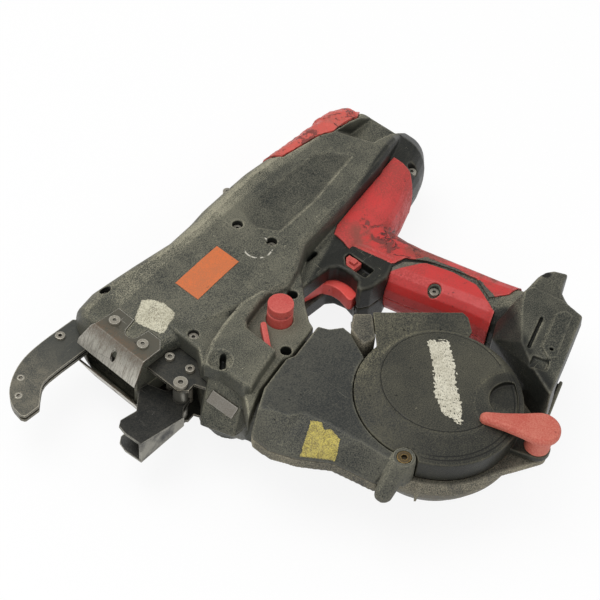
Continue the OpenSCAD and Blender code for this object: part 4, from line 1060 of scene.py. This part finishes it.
YELLOW_OUTLINE = [
    (-63.9, 40.6), (-61, 34.8), (-63, 31.5), (-60.6, 28.8), (-61.8, 20.8), (-69.1, 17),
    (-72.7, 22.9), (-80.2, 33.2),
]
PALE_OUTLINE = [
    (-66.5, 172.4), (-62.5, 168.5), (-59.7, 161.5), (-60.2, 151.5), (-62.4, 149.5), (-74, 146),
    (-76, 147.5), (-79.6, 162.5), (-78.6, 166),
]
RESIDUE_OUTLINE = [
    (24.5, 29.5), (33.2, 20.1), (21.2, 5.6), (10.6, -3.4), (1.2, -14.3), (-9.5, -23.3),
    (-10.7, -9.3), (-3.6, 0.7), (7.4, 10.1), (18, 21),
]


def within(outline, x, y):
    """Whether a point lies in an outline of any shape."""
    odd = False
    for i, (x0, y0) in enumerate(outline):
        x1, y1 = outline[i - 1]
        if (y0 > y) != (y1 > y) and x < (x1 - x0) * (y - y0) / (y1 - y0) + x0:
            odd = not odd
    return odd


def cells_over(values, cell):
    """Numbers of the cells that span some values, with room for a straying edge."""
    room = 2
    return range(math.floor(min(values) / cell) - room, math.ceil(max(values) / cell) + room)


def lay_label(name, carrier, body, outline, finish, worn=-1.0, scrap=3.0, ragged=0.5, cell=0.4):
    """Lays a thin label on the left face of a rounded solid.

    Its edge wanders by about the ragged width. Scraps of about the given size are gone
    where a wandering value, most often between -1 and 1, stays under worn.
    """
    skin = BVHTree.FromObject(nodes[carrier], bpy.context.evaluated_depsgraph_get())
    mesh = bmesh.new()
    corners = {}

    def corner(i, j):
        if (i, j) not in corners:
            at = Vector((i * cell * MM, j * cell * MM, RAY_START))
            hit = skin.ray_cast(at, DOWN)[0]
            corners[i, j] = mesh.verts.new((at.x, at.y, hit.z + LABEL_RISE * MM)) if hit else None
        return corners[i, j]

    for i in cells_over([x for x, y in outline], cell):
        for j in cells_over([y for x, y in outline], cell):
            x = (i + 0.5) * cell
            y = (j + 0.5) * cell
            stray = ragged * wobble.noise_vector(Vector((x, y, EDGE_LAYER)) * EDGE_WAVES)
            slanted = Vector((0.3 * x + 0.25 * y, 0.8 * y - 0.9 * x, SCRAP_LAYER))
            left = wobble.turbulence(slanted / scrap, SCRAP_DETAIL, False)
            if within(outline, x + stray.x, y + stray.y) and left > worn:
                square = [corner(i, j), corner(i + 1, j), corner(i + 1, j + 1), corner(i, j + 1)]
                if all(square):
                    mesh.faces.new(square)
    data = bpy.data.meshes.new(name)
    mesh.to_mesh(data)
    mesh.free()
    for face in data.polygons:
        face.use_smooth = True
    data.materials.append(finish)
    piece = bpy.data.objects.new(name, data)
    bpy.context.scene.collection.objects.link(piece)
    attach(piece, body)


wobble.seed_set(LABEL_SEED)
lay_label("yellow_label", "magazine_front", "body", YELLOW_OUTLINE, YELLOW_LABEL)
lay_label("pale_label", "left_housing", "body", PALE_OUTLINE, PALE_LABEL)
lay_label(
    "cover_residue", "magazine_cover", "cover", RESIDUE_OUTLINE, RESIDUE,
    worn=-0.48, scrap=0.6, ragged=2.0, cell=0.25,
)


# Floor, light and camera

WHITE = (1, 1, 1, 1)
FLOOR_GREY = (0.9, 0.9, 0.9, 1)
# Share of the floor's glow where it is seen
FLOOR_GLOW = 0.88
# Half the width of the floor, and the point that the lights look at, in metres
FLOOR_REACH = 6.0
TOOL_MIDDLE = Vector((0, 0.09, 0.03))
# Name, place and size in metres, and power in watts of each soft light
LIGHTS = (
    ("key_panel", (-0.3, 0.6, 1.6), 1.2, 14.0),
    ("fill_panel", (0.9, -0.7, 1.2), 1.4, 4.0),
    ("front_panel", (-0.9, -0.9, 0.8), 1.0, 4.5),
)
SKY_STRENGTH = 0.55
# Where the camera stands, in millimetres over the parting plane, and its axes
CAMERA_PLACE = (-473.4, -259.0, 695.7)
CAMERA_BACK = (-0.528, -0.407, 0.745)
CAMERA_RIGHT = (0.666, -0.743, 0.066)


def pale_floor():
    """White floor: it glows for the camera and in reflections, so that only a light shadow is left."""
    made, tree, _ = new_material("pale_floor", Base_Color=FLOOR_GREY, Roughness=0.9)
    rays = add(tree, "ShaderNodeLightPath").outputs
    seen = greatest(tree, rays["Is Camera Ray"], rays["Is Glossy Ray"], rays["Is Transmission Ray"])
    glow = add(tree, "ShaderNodeEmission", {"Strength": 1.0})
    mix = add(tree, "ShaderNodeMixShader", {0: product(tree, seen, FLOOR_GLOW)})
    tree.links.new(tree.nodes["Principled BSDF"].outputs[0], mix.inputs[1])
    tree.links.new(glow.outputs[0], mix.inputs[2])
    tree.links.new(mix.outputs[0], tree.nodes["Material Output"].inputs["Surface"])
    return made


def pale_studio():
    """The floor, an even pale sky and three soft lights."""
    scene = bpy.context.scene
    scene.view_settings.view_transform = "Standard"
    world = bpy.data.worlds.new("studio")
    scene.world = world
    world.use_nodes = True
    sky = world.node_tree.nodes["Background"].inputs
    sky["Color"].default_value = WHITE
    sky["Strength"].default_value = SKY_STRENGTH

    reach = FLOOR_REACH
    floor_mesh = bpy.data.meshes.new("floor")
    floor_mesh.from_pydata(
        [(-reach, -reach, 0), (reach, -reach, 0), (reach, reach, 0), (-reach, reach, 0)],
        [],
        [(0, 1, 2, 3)],
    )
    floor = bpy.data.objects.new("floor", floor_mesh)
    scene.collection.objects.link(floor)
    floor.data.materials.append(pale_floor())

    for name, place, size, power in LIGHTS:
        lamp = bpy.data.lights.new(name, "AREA")
        lamp.size = size
        lamp.energy = power
        panel = bpy.data.objects.new(name, lamp)
        panel.location = place
        aim = TOOL_MIDDLE - Vector(place)
        panel.rotation_euler = aim.to_track_quat("-Z", "Y").to_euler()
        scene.collection.objects.link(panel)


def photo_camera():
    """The camera that the outlines were traced with: a long lens, looking down at about 48 degrees."""
    data = bpy.data.cameras.new("photo_camera")
    data.lens = 90.0
    data.sensor_width = 36.0
    data.clip_end = 20.0
    camera = bpy.data.objects.new("photo_camera", data)
    bpy.context.scene.collection.objects.link(camera)
    back = Vector(CAMERA_BACK).normalized()
    right = Vector(CAMERA_RIGHT)
    right = (right - right.dot(back) * back).normalized()
    up = back.cross(right)
    x, y, z = CAMERA_PLACE
    place = Vector((x, y, z + PARTING)) * MM
    camera.matrix_world = Matrix(
        (
            (right.x, up.x, back.x, place.x),
            (right.y, up.y, back.y, place.y),
            (right.z, up.z, back.z, place.z),
            (0, 0, 0, 1),
        )
    )
    bpy.context.scene.camera = camera


pale_studio()
photo_camera()

bpy.context.view_layer.update()
